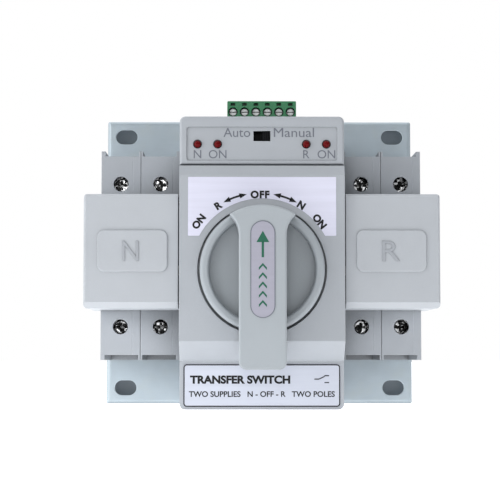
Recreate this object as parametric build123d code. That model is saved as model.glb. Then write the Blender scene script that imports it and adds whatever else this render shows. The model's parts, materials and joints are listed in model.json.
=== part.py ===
from build123d import *
import math
import os

# Two-pole dual-supply transfer switch with a rotary handle.
# Every piece is drawn lying on its back: x to the right, y up the face, z out of the mounting plane.
# place() turns a piece upright for export: the face looks along -Y and +Z is up.
# z is zero on the plane the tray's rear edges rest on. All lengths are millimetres, angles degrees.
# place() also brings the origin to the centre of the mounting slots, half way through the tray's sheet.

# Base tray, folded from sheet
TRAY_WIDTH = 148.0
TRAY_HEIGHT = 137.4
TRAY_DEPTH = 8.0
SHEET = 1.5
SHEET_MIDDLE_Z = TRAY_DEPTH - SHEET / 2
BEND_RADIUS = 2.0
SLOT_LENGTH = 10.5
SLOT_WIDTH = 7.2
SLOT_PITCH_X = 129.5
SLOT_PITCH_Y = 122.0

# 35 mm rails under the breakers
RAIL_WIDTH = 35.0
RAIL_CHANNEL = 27.0
RAIL_HEIGHT = 7.5
RAIL_SHEET = 1.0
RIVET_RADIUS = 2.0
RIVET_HOLE_RADIUS = 2.02

# Breakers: two poles each, one each side of the drive housing
POLE_PITCH = 18.0
POLE_WIDTH = 17.9
CASE_SPLIT = 14.4
CASE_WALL = 1.8
BREAKER_INNER_X = 36.7
BREAKER_LEFT_X = -BREAKER_INNER_X - 2 * POLE_PITCH
BREAKER_RIGHT_X = BREAKER_INNER_X
POLE_STARTS = (0.0, POLE_PITCH + 0.1)
RIVET_SPOTS = ((-40.0, 20.5), (40.0, 20.5), (-17.0, 66.0), (17.0, 66.0), (-14.0, 20.6))
CASE_RIVET_RADIUS = 1.6
CASE_RIVET_HEAD_RADIUS = 2.45
CASE_BOSS_RADIUS = 2.9
TOGGLE_OPENING = (11.2, 14.4)
CLIP_WIDTH = 12.0
CASE_BACK_Z = 10.0
SHOULDER_Z = 58.0
NOSE_Z = 74.0
NOSE_HALF = 22.5
CASE_HALF = 47.5
END_WALL_Y = 45.2
END_RECESS_Z = 20.0
END_LIP = 0.8
TERMINAL_Y = 32.5
ACCESS_RADIUS = 3.4
ENTRY_WIDTH = 8.4
ENTRY_HEIGHT = 10.0
ENTRY_Z = 42.3
CLIP_GROOVE_Z = 14.6
CLAMP_BOTTOM_Z = 38.0
CLAMP_TOP_Z = 48.6
CLAMP_NEAR_Y = 28.0
CLAMP_FAR_Y = 37.0
SCREW_HEAD_RADIUS = 3.0
SCREW_SHANK_RADIUS = 2.45
STRAP_Z = 40.6
STRAP_SHEET = 1.4
STRAP_HALF = 3.0

# Toggles and contact arms
PIN_RADIUS = 1.5
PIN_CLEARANCE = 0.05
TOGGLE_Z = 68.0
TOGGLE_OFF_ANGLE = 24.0
BARREL_RADIUS = 5.8
LEVER_LENGTH = 14.5
LEVER_HALF_WIDTH = 5.0
LEVER_HALF_DEPTH = 2.7
ARM_Y = 9.5
ARM_Z = 50.0
ARM_OPEN_ANGLE = 16.0
CONTACT_Z = 34.0

# Drive housing
HOUSING_HALF = 36.0
HOUSING_BOTTOM = -69.1
HOUSING_TOP = 59.1
HOUSING_WALL = 2.2
SPLIT_Z = 60.0
LEDGE_Z = 82.0
MAIN_Z = 92.0
HEADER_Z = 89.0
SLOPE_FOOT = 47.8
SLOPE_HEAD = 39.4
UPPER_SLOPE_Y = 32.9
SEAM_HALF = 0.25
HEADER_Y = 37.5
DIAL_Y = -8.4
WELL_RADIUS = 28.1
WELL_FLOOR_Z = 89.0
LABEL_ARC_RADIUS = 31.0

# Handle
DISC_RADIUS = 27.0
RIM_INNER_RADIUS = 22.9
DISC_BACK_Z = 89.5
DISC_FLOOR_Z = 93.4
RIM_Z = 97.4
GRIP_HALF = 10.1
GRIP_Z = 111.0
GRIP_BOTTOM = -43.1
HANDLE_SCREW_Z = 106.0

# Shaft and gear train
SHAFT_RADIUS = 4.0
SHAFT_FLAT = 3.2
SHAFT_BACK_Z = 12.3
SHAFT_FRONT_Z = 104.0
HANDLE_SCREW_RADIUS = 1.96
FLAT_CLEARANCE = 0.02
BEARING_TOP_Z = 26.0
SHAFT_CLEARANCE = 0.05
MODULE = 1.25
PRESSURE_ANGLE = 20.0
ADDENDUM = 0.95 * MODULE
DEDENDUM = 1.25 * MODULE
BACKLASH = 0.16
DRIVE_TEETH = 24
IDLER_TEETH = 16
PINION_TEETH = 12
MESH_CLEARANCE = 0.08
GEAR_BACK_Z = 62.0
GEAR_FRONT_Z = 68.0
PLATE_BACK_Z = 56.0
PLATE_FRONT_Z = 58.0
BUSH_RADIUS = 5.48
IDLER_PIN_RADIUS = 2.5
GUIDE_PIN_RADIUS = 2.0
MOTOR_NOSE_RADIUS = 4.0
MOTOR_SHAFT_RADIUS = 1.5
MOTOR_SCREW_RADIUS = 1.2
RACK_SLOT_X = 23.6
RACK_OUTER_X = 28.5
RACK_HALF = 26.0
RACK_TRAVEL = 11.8
FINGER_LOW_Y = -10.0
FINGER_HIGH_Y = -6.0
FINGER_BACK_Z = 75.0
FINGER_FRONT_Z = 79.0
GUIDE_SPACING = 9.0
DRIVE_PITCH_RADIUS = MODULE * DRIVE_TEETH / 2
IDLER_Y = DIAL_Y - MODULE * (DRIVE_TEETH + IDLER_TEETH) / 2 - MESH_CLEARANCE
MOTOR_Y = IDLER_Y - MODULE * (IDLER_TEETH + PINION_TEETH) / 2 - MESH_CLEARANCE

# Fasteners between the housing halves, the tray and the gear plate
COLUMN_X = 31.5
COLUMN_RADIUS = 3.45
COLUMN_YS = (-62.5, 32.5, 52.5)
COLUMN_SCREW_RADIUS = 1.5
COLUMN_HOLE_RADIUS = 1.52
PLATE_SCREW_RADIUS = 1.46
COLUMN_HOLE_TOP_Z = 74.0
TRAY_SCREW_SPOTS = ((-24, -60), (24, -60), (-24, 47), (24, 47))
TRAY_SCREW_RADIUS = 1.96
PLATE_SCREW_SPOTS = ((-22, -44), (22, -44), (-20, 24), (20, 24))
MOTOR_SCREW_X = 8.5

# Front of the header
HEADER_RECESS = (66.0, 14.9)
HEADER_RECESS_Y = 46.95
RECESS_DEPTH = 0.6
LAMP_XS = (-28.2, -19.4, 19.4, 28.2)
LAMP_Y = 46.8
LAMP_RADIUS = 1.55
SWITCH_Y = 50.4
SWITCH_OPENING = (7.4, 4.5)
KNOB_X = 1.9
BOARD_BACK_Z = 66.0
BOARD_FRONT_Z = 67.6
BOARD_BOTTOM = 30.2

# Pluggable control terminal, six ways
WAYS = 6
WAY_PITCH = 5.08
PLUG_HALF = WAYS * WAY_PITCH / 2
PLUG_BACK_Z = 70.0
PLUG_FRONT_Z = 81.0
PLUG_Y = 59.3
PLUG_TOP = 67.1
PLUG_SCREW_Y = 62.2
PIN_Z = 74.7
PIN_HALF = 0.5
SOCKET_HALF = 16.2
SOCKET_FRONT_Z = 79.6
SOCKET_BACK_Y = 46.9

# Covers over the breaker toggles
COVER_INNER_X = 36.6
COVER_OUTER_X = 77.8
COVER_HALF = 25.0
COVER_WALL = 1.8
COVER_Z = 88.0
COVER_BACK_Z = 44.0
TAB_BACK_Z = 62.0
TAB_FRONT_Z = 66.0
PANEL_X = 56.5

LABEL_THICKNESS = 0.2
RATING_WIDTH = 68.8
RATING_TOP = -49.2
RATING_BOTTOM = -68.0


# ---------------------------------------------------------------- shared helpers


def slab(x0, x1, y0, y1, z0, z1):
    """Rectangular block between two opposite corners."""
    block = Box(x1 - x0, y1 - y0, z1 - z0, align=(Align.MIN, Align.MIN, Align.MIN))
    return Pos(x0, y0, z0) * block


def post(x, y, z0, z1, radius):
    """Round post standing along z."""
    cylinder = Cylinder(radius, z1 - z0, align=(Align.CENTER, Align.CENTER, Align.MIN))
    return Pos(x, y, z0) * cylinder


def rod_x(x0, x1, y, z, radius):
    """Round rod lying along x."""
    cylinder = Cylinder(radius, x1 - x0, align=(Align.CENTER, Align.CENTER, Align.MIN))
    return Pos(x0, y, z) * Rot(0, 90, 0) * cylinder


def rod_y(x, y0, y1, z, radius):
    """Round rod lying along y."""
    cylinder = Cylinder(radius, y1 - y0, align=(Align.CENTER, Align.CENTER, Align.MIN))
    return Pos(x, y0, z) * Rot(-90, 0, 0) * cylinder


def sweep_x(points, x0, x1):
    """Outline given as (y, z) points, carried from x0 to x1."""
    outline = make_face(Polyline(*points, close=True))
    return Pos(x0, 0, 0) * extrude(Plane.YZ * outline, amount=x1 - x0)


def sweep_y(points, y0, y1):
    """Outline given as (x, z) points, carried from y0 to y1."""
    outline = make_face(Polyline(*points, close=True))
    return Pos(0, y1, 0) * extrude(Plane.XZ * outline, amount=y1 - y0)


def sheet_z(face, z0, z1):
    """Flat face drawn on XY, given thickness between two levels."""
    return Pos(0, 0, z0) * extrude(face, amount=z1 - z0)


def mirrored(shape):
    """The same shape on the other side of the centre plane."""
    return mirror(shape, about=Plane.YZ)


def edges_at(shape, axis, value, tolerance=0.01):
    """Edges that lie wholly at one value of an axis."""
    return shape.edges().filter_by_position(axis, value - tolerance, value + tolerance)


def turned_about_x(shape, y, z, angle):
    """Shape turned about an axis along x through (y, z)."""
    return Pos(0, y, z) * Rot(angle, 0, 0) * Pos(0, -y, -z) * shape


def place(name, shapes):
    """Turn the pieces upright and write them as one node."""
    solids = []
    for shape in shapes:
        upright = Pos(0, SHEET_MIDDLE_Z, 0) * Rot(90, 0, 0) * shape
        solids.extend(upright.solids())
    whole = solids[0] if len(solids) == 1 else Compound(children=solids)
    export_step(whole, f"parts/{name}.step")


# ---------------------------------------------------------------- base tray and rails


def base_tray():
    half_w = TRAY_WIDTH / 2
    half_h = TRAY_HEIGHT / 2
    corner = 0.8
    tray = slab(-half_w, half_w, -half_h, half_h, 0, TRAY_DEPTH)
    tray = fillet(tray.edges().filter_by(Axis.Z), corner)
    tray = fillet(edges_at(tray, Axis.Z, TRAY_DEPTH), BEND_RADIUS)
    hollow = slab(-half_w + SHEET, half_w - SHEET, -half_h + SHEET, half_h - SHEET, -1, TRAY_DEPTH - SHEET)
    hollow = fillet(edges_at(hollow, Axis.Z, TRAY_DEPTH - SHEET), BEND_RADIUS - SHEET)
    tray = tray - hollow
    for side_x in (-1, 1):
        for side_y in (-1, 1):
            slot = sheet_z(SlotOverall(SLOT_LENGTH, SLOT_WIDTH), -1, TRAY_DEPTH + 1)
            tray -= Pos(side_x * SLOT_PITCH_X / 2, side_y * SLOT_PITCH_Y / 2, 0) * slot
    for x, y in TRAY_SCREW_SPOTS:
        tray -= post(x, y, 0, TRAY_DEPTH + 1, TRAY_SCREW_RADIUS + 0.19)
    for x, y in rail_rivet_spots():
        tray -= post(x, y, 0, TRAY_DEPTH + 1, RIVET_HOLE_RADIUS)
    return tray


def breaker_origins():
    return (BREAKER_LEFT_X, BREAKER_RIGHT_X)


def rail_rivet_spots():
    spots = []
    for x in breaker_origins():
        spots.append((x + 8.0, 0))
        spots.append((x + 28.0, 0))
    return spots


def mounting_rail(x0):
    """Top-hat rail, open towards the breaker."""
    outer = RAIL_WIDTH / 2
    web = RAIL_CHANNEL / 2
    back = TRAY_DEPTH
    lip = TRAY_DEPTH + RAIL_HEIGHT
    right = [
        (web, back),
        (web, lip - RAIL_SHEET),
        (outer, lip - RAIL_SHEET),
        (outer, lip),
        (web - RAIL_SHEET, lip),
        (web - RAIL_SHEET, back + RAIL_SHEET),
    ]
    left = [(-y, z) for y, z in reversed(right)]
    rail = sweep_x(right + left, x0 + 1, x0 + 2 * POLE_PITCH - 1)
    for x, y in rail_rivet_spots():
        rail -= post(x, y, 0, lip, RIVET_HOLE_RADIUS)
    return rail


def rail_rivet(x, y):
    """Blind rivet: dome in the rail, set tail behind the tray sheet."""
    seat_z = TRAY_DEPTH + RAIL_SHEET
    dome_z = seat_z + 1.3
    tail_z = TRAY_DEPTH - SHEET - 1.9
    dome = post(x, y, seat_z, dome_z, 1.8 * RIVET_RADIUS)
    dome = fillet(edges_at(dome, Axis.Z, dome_z), 0.9)
    tail = post(x, y, tail_z, TRAY_DEPTH - SHEET, 1.45 * RIVET_RADIUS)
    return dome + tail + post(x, y, tail_z, seat_z + 0.5, RIVET_RADIUS)


def pan_screw(x, y, seat_z, tip_z, head_radius, head_height, shank_radius):
    """Cross-recessed pan screw driven along z, with its head below (tip above) or above the seat."""
    upward = tip_z > seat_z
    outer_z = seat_z - head_height if upward else seat_z + head_height
    head = post(x, y, min(seat_z, outer_z), max(seat_z, outer_z), head_radius)
    head = fillet(edges_at(head, Axis.Z, outer_z), head_height * 0.35)
    shank = post(x, y, min(seat_z, tip_z), max(seat_z, tip_z), shank_radius)
    shank = chamfer(edges_at(shank, Axis.Z, tip_z), shank_radius * 0.3)
    depth = head_height * 0.5
    low = outer_z - 0.1 if upward else outer_z - depth
    high = outer_z + depth if upward else outer_z + 0.1
    reach = head_radius * 0.55
    half_width = head_radius * 0.13
    recess = slab(x - reach, x + reach, y - half_width, y + half_width, low, high)
    recess += slab(x - half_width, x + half_width, y - reach, y + reach, low, high)
    return head + shank - recess


# ---------------------------------------------------------------- breakers


def case_outline():
    """Side outline of a modular breaker with its rail channel and fixed hook."""
    channel = RAIL_WIDTH / 2 + 0.3
    channel_z = TRAY_DEPTH + RAIL_HEIGHT + 0.1
    hook_z = TRAY_DEPTH + RAIL_HEIGHT - RAIL_SHEET - 0.1
    return [
        (-CASE_HALF, CASE_BACK_Z),
        (-channel, CASE_BACK_Z),
        (-channel, channel_z),
        (channel, channel_z),
        (channel, hook_z),
        (channel - 2.2, hook_z),
        (channel - 2.2, hook_z - 1.4),
        (channel + 0.8, CASE_BACK_Z),
        (CASE_HALF, CASE_BACK_Z),
        (CASE_HALF, SHOULDER_Z),
        (NOSE_HALF, SHOULDER_Z),
        (NOSE_HALF, NOSE_Z),
        (-NOSE_HALF, NOSE_Z),
        (-NOSE_HALF, SHOULDER_Z),
        (-CASE_HALF, SHOULDER_Z),
    ]


def cavity_outline():
    """Inside of the case, one wall in from the outline."""
    end = END_WALL_Y - CASE_WALL
    channel = RAIL_WIDTH / 2 + 0.3 + CASE_WALL
    channel_z = TRAY_DEPTH + RAIL_HEIGHT + 0.1 + CASE_WALL
    nose = NOSE_HALF - CASE_WALL
    return [
        (-end, channel_z),
        (channel, channel_z),
        (channel, CASE_BACK_Z + CASE_WALL),
        (end, CASE_BACK_Z + CASE_WALL),
        (end, SHOULDER_Z - CASE_WALL),
        (nose, SHOULDER_Z - CASE_WALL),
        (nose, NOSE_Z - CASE_WALL),
        (-nose, NOSE_Z - CASE_WALL),
        (-nose, SHOULDER_Z - CASE_WALL),
        (-end, SHOULDER_Z - CASE_WALL),
    ]


def whole_pole(x0, clip_side):
    """One pole's case before it is split, with its left side at x0 and its neighbour on the clip side."""
    middle = x0 + POLE_WIDTH / 2
    pole = sweep_x(case_outline(), x0, x0 + POLE_WIDTH)
    pole = fillet(pole.edges().filter_by(Axis.X).group_by(Axis.Z)[-1], 1.2)
    pole -= sweep_x(cavity_outline(), x0 + CASE_WALL, x0 + POLE_WIDTH - CASE_WALL)
    for y, z in RIVET_SPOTS:
        pole += rod_x(x0 + CASE_WALL, x0 + POLE_WIDTH - CASE_WALL, y, z, CASE_BOSS_RADIUS)
    for y, z in RIVET_SPOTS:
        pole -= rod_x(x0 - 1, x0 + POLE_WIDTH + 1, y, z, CASE_RIVET_RADIUS + 0.05)
    for side in (-1, 1):
        low, high = sorted((side * END_WALL_Y, side * (CASE_HALF + 1)))
        left = x0 + (CASE_WALL if clip_side > 0 else END_LIP)
        right = x0 + POLE_WIDTH - (END_LIP if clip_side > 0 else CASE_WALL)
        pole -= slab(left, right, low, high, END_RECESS_Z, SHOULDER_Z + 1)
        entry_low, entry_high = sorted((side * (END_WALL_Y - 2.6), side * (END_WALL_Y + 1)))
        entry_x = (middle - ENTRY_WIDTH / 2, middle + ENTRY_WIDTH / 2)
        entry_z = (ENTRY_Z - ENTRY_HEIGHT / 2, ENTRY_Z + ENTRY_HEIGHT / 2)
        pole -= slab(*entry_x, entry_low, entry_high, *entry_z)
        pole -= post(middle, side * TERMINAL_Y, SHOULDER_Z - 3, SHOULDER_Z + 1, ACCESS_RADIUS)
    width, height = TOGGLE_OPENING
    pole -= slab(middle - width / 2, middle + width / 2, -height / 2, height / 2, NOSE_Z - 3, NOSE_Z + 1)
    clip_x = x0 + POLE_WIDTH if clip_side > 0 else x0
    groove_half = CLIP_WIDTH / 2 + 0.2
    groove_x = (clip_x - groove_half, clip_x + groove_half)
    pole -= slab(*groove_x, -CASE_HALF - 1, -RAIL_WIDTH / 2, CASE_BACK_Z - 1, CLIP_GROOVE_Z)
    return pole


def pole_halves(x0, clip_side, rivet_head_side):
    """Deep half and lid of one pole, with the rivet head sunk into the outer face."""
    pole = whole_pole(x0, clip_side)
    face = x0 if rivet_head_side < 0 else x0 + POLE_WIDTH
    for y, z in RIVET_SPOTS:
        pole -= rod_x(face - 1.0, face + 1.0, y, z, CASE_RIVET_HEAD_RADIUS + 0.05)
    beyond = 2 * CASE_HALF
    deep = pole & slab(x0 - 1, x0 + CASE_SPLIT, -beyond, beyond, 0, beyond)
    lid = pole & slab(x0 + CASE_SPLIT, x0 + POLE_WIDTH + 1, -beyond, beyond, 0, beyond)
    return deep, lid


def breaker_case(x0):
    """Both poles of a breaker: the two deep halves and the two lids."""
    first = pole_halves(x0 + POLE_STARTS[0], 1, -1)
    second = pole_halves(x0 + POLE_STARTS[1], -1, 1)
    return [first[0], second[0]], [first[1], second[1]]


def case_rivet(x0, y, z):
    """Tubular rivet through both poles, its heads flush with the outer faces."""
    far = x0 + POLE_STARTS[1] + POLE_WIDTH
    sunk = 0.2
    head = 0.8
    bore_radius = 0.9
    rivet = rod_x(x0 + sunk, x0 + sunk + head, y, z, CASE_RIVET_HEAD_RADIUS)
    rivet += rod_x(far - sunk - head, far - sunk, y, z, CASE_RIVET_HEAD_RADIUS)
    rivet += rod_x(x0 + sunk, far - sunk, y, z, CASE_RIVET_RADIUS)
    return rivet - rod_x(x0 - 1, far + 1, y, z, bore_radius)


def pole_middles():
    """x of the middle of each of the four poles."""
    return [x0 + start + POLE_WIDTH / 2 for x0 in breaker_origins() for start in POLE_STARTS]


def terminal_screw(x, y):
    """Terminal screw with a combined slot and cross, sunk below the shoulder."""
    head_top = CLAMP_TOP_Z + 3.6
    head = post(x, y, CLAMP_TOP_Z + 0.1, head_top, SCREW_HEAD_RADIUS)
    head = fillet(edges_at(head, Axis.Z, head_top), 0.5)
    shank = post(x, y, CLAMP_TOP_Z - 4.1, CLAMP_TOP_Z + 0.2, SCREW_SHANK_RADIUS)
    slot_half, slot_depth = 0.5, 1.4
    arm, arm_half, arm_depth = 2.1, 0.6, 2.2
    slot_floor = head_top - slot_depth
    arm_floor = head_top - arm_depth
    reach = SCREW_HEAD_RADIUS + 0.2
    slot = slab(x - reach, x + reach, y - slot_half, y + slot_half, slot_floor, head_top + 1)
    cross = slab(x - arm_half, x + arm_half, y - arm, y + arm, arm_floor, head_top + 1)
    cross += slab(x - arm, x + arm, y - arm_half, y + arm_half, arm_floor, head_top + 1)
    return head + shank - slot - cross


def terminal_clamp(x, side):
    """Box clamp that the terminal screw closes on the wire."""
    low, high = sorted((side * CLAMP_NEAR_Y, side * CLAMP_FAR_Y))
    half = 4.8
    mouth_half = 3.5
    mouth_back, mouth_front = CLAMP_BOTTOM_Z + 1.6, CLAMP_TOP_Z - 3.6
    box = slab(x - half, x + half, low, high, CLAMP_BOTTOM_Z, CLAMP_TOP_Z)
    box = fillet(box.edges().filter_by(Axis.Y), 1.0)
    box -= slab(x - mouth_half, x + mouth_half, low - 1, high + 1, mouth_back, mouth_front)
    return box - post(x, side * TERMINAL_Y, mouth_front - 2, CLAMP_TOP_Z + 1, SCREW_SHANK_RADIUS + 0.05)


def fixed_contact(x):
    """Copper strap from the upper clamp down to the fixed contact button."""
    left, right = x - STRAP_HALF, x + STRAP_HALF
    top = STRAP_Z + STRAP_SHEET
    near_y = 14.0
    strap = slab(left, right, near_y, CLAMP_FAR_Y - 1, STRAP_Z, top)
    strap += slab(left, right, near_y, near_y + STRAP_SHEET, 28.0, top)
    strap = fillet(strap.edges().filter_by(Axis.X).sort_by_distance((x, near_y, top))[:1], 1.0)
    return strap + rod_y(x, near_y - 1.7, near_y + 0.2, CONTACT_Z, 2.2)


def trip_coil(x):
    """Copper winding of the magnetic trip around its plunger."""
    y0, y1, z = 17.6, 30.0, 27.0
    wire = 0.95
    core_radius, winding_radius, plunger_radius = 4.3, 4.8, 1.6
    coil = rod_y(x, y0, y1, z, core_radius)
    turns = 7
    for turn in range(turns):
        y = y0 + wire + turn * (y1 - y0 - 2 * wire) / (turns - 1)
        coil += Pos(x, y, z) * Rot(90, 0, 0) * Torus(winding_radius, wire)
    return coil + rod_y(x, y0 - 1.4, y0 + 1, z, plunger_radius)


def arc_chute(x):
    """Stack of arc-splitting plates held between two cheeks."""
    low_y, high_y = -5.0, 13.0
    cheek_inner, cheek_outer = 6.0, 6.6
    back_z, front_z = 18.6, 30.0
    plates, plate_pitch, plate_sheet = 8, 2.4, 0.9
    chute = slab(x - cheek_outer, x - cheek_inner, low_y, high_y, back_z, front_z)
    chute += slab(x + cheek_inner, x + cheek_outer, low_y, high_y, back_z, front_z)
    reach = cheek_inner + 0.2
    for index in range(plates):
        y = low_y + 0.2 + index * plate_pitch
        chute += slab(x - reach, x + reach, y, y + plate_sheet, back_z + 0.6, front_z - 0.6)
    return chute


def bimetal_strap(x):
    """Bimetal strip and the strap that carries it from the lower clamp."""
    left, right = x - STRAP_HALF, x + STRAP_HALF
    top = STRAP_Z + STRAP_SHEET
    far_y = -27.0
    near_y = far_y + STRAP_SHEET
    strap = slab(left, right, 1 - CLAMP_FAR_Y, near_y, STRAP_Z, top)
    strap += slab(left, right, far_y, near_y, 24.0, top)
    return strap + slab(x - 2.5, x + 2.5, far_y, -6.5, 24.4, 25.6)


def toggle(x):
    """Toggle lever with its barrel, turned down to OFF."""
    left, right = x - LEVER_HALF_WIDTH, x + LEVER_HALF_WIDTH
    tip_z = TOGGLE_Z + LEVER_LENGTH
    lever = slab(left, right, -LEVER_HALF_DEPTH, LEVER_HALF_DEPTH, TOGGLE_Z, tip_z)
    lever = fillet(edges_at(lever, Axis.Z, tip_z), 1.0)
    lever += rod_x(left, right, 0, TOGGLE_Z, BARREL_RADIUS)
    lever -= rod_x(left - 1, right + 1, 0, TOGGLE_Z, PIN_RADIUS + PIN_CLEARANCE)
    return turned_about_x(lever, 0, TOGGLE_Z, TOGGLE_OFF_ANGLE)


def toggle_tie(x0):
    """Bar that ties both toggles of a breaker, with a socket for each lever."""
    low = TOGGLE_Z + LEVER_LENGTH - 2.4
    top = TOGGLE_Z + LEVER_LENGTH + 1.8
    half_depth = LEVER_HALF_DEPTH + 1.2
    play = 0.05
    socket_half = LEVER_HALF_WIDTH + play
    socket_depth = LEVER_HALF_DEPTH + play
    socket_top = TOGGLE_Z + LEVER_LENGTH + play
    tie = slab(x0 + 3, x0 + 33, -half_depth, half_depth, low, top)
    tie = fillet(tie.edges(), 0.8)
    for start in POLE_STARTS:
        x = x0 + start + POLE_WIDTH / 2
        tie -= slab(x - socket_half, x + socket_half, -socket_depth, socket_depth, low - 1, socket_top)
    return turned_about_x(tie, 0, TOGGLE_Z, TOGGLE_OFF_ANGLE)


def contact_arm(x):
    """Moving contact arm, swung open."""
    left, right = x - 3, x + 3
    tip_z = CONTACT_Z - 2.4
    arm = slab(left, right, ARM_Y - 1.2, ARM_Y + 1.2, tip_z, ARM_Z)
    arm += rod_x(left, right, ARM_Y, ARM_Z, 3.1)
    arm += rod_y(x, ARM_Y + 1.0, ARM_Y + 2.7, CONTACT_Z, 2.0)
    arm -= rod_x(left - 1, right + 1, ARM_Y, ARM_Z, PIN_RADIUS + PIN_CLEARANCE)
    return turned_about_x(arm, ARM_Y, ARM_Z, -ARM_OPEN_ANGLE)


def pivot_pin(x, y, z):
    """Steel pin between the two halves of a pole's case."""
    half = POLE_WIDTH / 2 - CASE_WALL
    return rod_x(x - half, x + half, y, z, PIN_RADIUS)


def din_clip(x0):
    """Sliding clip that locks a breaker behind the rail's lower lip."""
    middle = x0 + POLE_PITCH
    left, right = middle - CLIP_WIDTH / 2, middle + CLIP_WIDTH / 2
    back_z, front_z = 10.4, 12.9
    hook_y = -15.6
    lip_back = TRAY_DEPTH + RAIL_HEIGHT - RAIL_SHEET
    hook = [
        (hook_y - 3.0, front_z - 0.9),
        (hook_y, front_z - 0.9),
        (hook_y, lip_back - 0.9),
        (hook_y - 0.8, lip_back - 0.2),
        (hook_y - 3.0, lip_back - 0.2),
    ]
    clip = slab(left, right, -46.4, hook_y - 1.0, back_z, front_z)
    clip += sweep_x(hook, left, right)
    clip += slab(left, right, hook_y - 1.1, hook_y, back_z, front_z)
    return clip - slab(middle - 3, middle + 3, -44.4, -42.0, back_z - 1, front_z + 1)


# ---------------------------------------------------------------- drive housing


def mechanism_base():
    """Rear half of the drive housing with its bosses and screw columns."""
    wall = HOUSING_WALL
    floor_z = TRAY_DEPTH + 2.5
    base = slab(-HOUSING_HALF, HOUSING_HALF, HOUSING_BOTTOM, HOUSING_TOP, TRAY_DEPTH, SPLIT_Z)
    base = fillet(base.edges().filter_by(Axis.Z), 2.5)
    hollow = slab(
        -HOUSING_HALF + wall,
        HOUSING_HALF - wall,
        HOUSING_BOTTOM + wall,
        HOUSING_TOP - wall,
        floor_z,
        SPLIT_Z + 1,
    )
    base -= hollow
    boss_foot = floor_z - 0.5
    for x, y in TRAY_SCREW_SPOTS:
        base += post(x, y, boss_foot, 24, 4.5)
        base -= post(x, y, TRAY_DEPTH - 1, 22, TRAY_SCREW_RADIUS + 0.04)
    base += post(0, DIAL_Y, boss_foot, BEARING_TOP_Z, 2 * SHAFT_RADIUS)
    base -= post(0, DIAL_Y, SHAFT_BACK_Z - 0.3, BEARING_TOP_Z + 1, SHAFT_RADIUS + SHAFT_CLEARANCE)
    for x, y in PLATE_SCREW_SPOTS:
        base += post(x, y, boss_foot, PLATE_BACK_Z, 4.0)
        base -= post(x, y, PLATE_BACK_Z - 12, PLATE_BACK_Z + 1, PLATE_SCREW_RADIUS + 0.04)
    for x in (-COLUMN_X, COLUMN_X):
        for y in COLUMN_YS:
            base += post(x, y, boss_foot, SPLIT_Z, COLUMN_RADIUS)
            base -= post(x, y, TRAY_DEPTH - 1, SPLIT_Z + 1, COLUMN_SCREW_RADIUS + 0.1)
            base -= post(x, y, TRAY_DEPTH - 1, floor_z + 0.3, 3.0)
    return base


def housing_screw(x, y):
    """Long screw joining the two halves of the housing from behind."""
    return pan_screw(x, y, TRAY_DEPTH + 2.8, COLUMN_HOLE_TOP_Z - 1, 2.9, 2.4, COLUMN_SCREW_RADIUS)


def front_outline():
    """Side outline of the front half: ledge, slope, dial face and upper slope."""
    return [
        (HOUSING_BOTTOM, SPLIT_Z),
        (HOUSING_BOTTOM, LEDGE_Z),
        (-SLOPE_FOOT, LEDGE_Z),
        (-SLOPE_HEAD, MAIN_Z),
        (UPPER_SLOPE_Y, MAIN_Z),
        (HEADER_Y - SEAM_HALF, MAIN_Z - 2.2),
        (HEADER_Y - SEAM_HALF, SPLIT_Z),
    ]


def front_hollow():
    """Inside of the front half, one wall in from its outline."""
    wall = HOUSING_WALL
    return [
        (HOUSING_BOTTOM + wall, SPLIT_Z - 1),
        (HOUSING_BOTTOM + wall, LEDGE_Z - wall),
        (-SLOPE_FOOT - 1, LEDGE_Z - wall),
        (-SLOPE_HEAD - 1, MAIN_Z - wall),
        (UPPER_SLOPE_Y - 0.5, MAIN_Z - wall),
        (HEADER_Y - 2.3, MAIN_Z - wall - 1.4),
        (HEADER_Y - 2.3, SPLIT_Z - 1),
    ]


def front_cover():
    """Front half of the housing with the round well that the handle turns in."""
    wall = HOUSING_WALL
    cover = sweep_x(front_outline(), -HOUSING_HALF, HOUSING_HALF)
    bottom_corners = cover.edges().filter_by(Axis.Z).group_by(Axis.Y)[0]
    cover = fillet(bottom_corners, 2.5)
    ridge = edges_at(cover, Axis.Z, MAIN_Z).filter_by(Axis.X).group_by(Axis.Y)
    cover = fillet(ridge[0] + ridge[-1], 0.8)
    cover -= sweep_x(front_hollow(), -HOUSING_HALF + wall, HOUSING_HALF - wall)
    cover += post(0, DIAL_Y, WELL_FLOOR_Z - 2.5, MAIN_Z - 1, WELL_RADIUS + 1.8)
    cover -= post(0, DIAL_Y, WELL_FLOOR_Z, MAIN_Z + 1, WELL_RADIUS)
    cover -= post(0, DIAL_Y, WELL_FLOOR_Z - 4, MAIN_Z, 7.0)
    cable_gap = 33.0
    cover -= slab(-cable_gap, cable_gap, 34.0, HEADER_Y + 0.5, SPLIT_Z - 1, 84.0)
    finger_low = FINGER_LOW_Y - RACK_TRAVEL - 1.8
    finger_high = FINGER_HIGH_Y + RACK_TRAVEL + 1.8
    for side in (-1, 1):
        low, high = sorted((side * (HOUSING_HALF - wall - 0.2), side * (HOUSING_HALF + 1)))
        cover -= slab(low, high, finger_low, finger_high, FINGER_BACK_Z - 2, FINGER_FRONT_Z + 1.6)
        for edge in (-1, 1):
            tab_low, tab_high = sorted((edge * (COVER_HALF - 2.1), edge * (COVER_HALF + 0.3)))
            cover -= slab(low, high, tab_low, tab_high, TAB_BACK_Z - 0.3, TAB_FRONT_Z + 0.3)
        for y in COLUMN_YS[:2]:
            top = LEDGE_Z - wall + 0.5 if y < 0 else MAIN_Z - wall - 1.0
            cover += post(side * COLUMN_X, y, SPLIT_Z, top, COLUMN_RADIUS)
            cover -= post(side * COLUMN_X, y, SPLIT_Z - 1, COLUMN_HOLE_TOP_Z, COLUMN_HOLE_RADIUS)
    return cover


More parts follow.
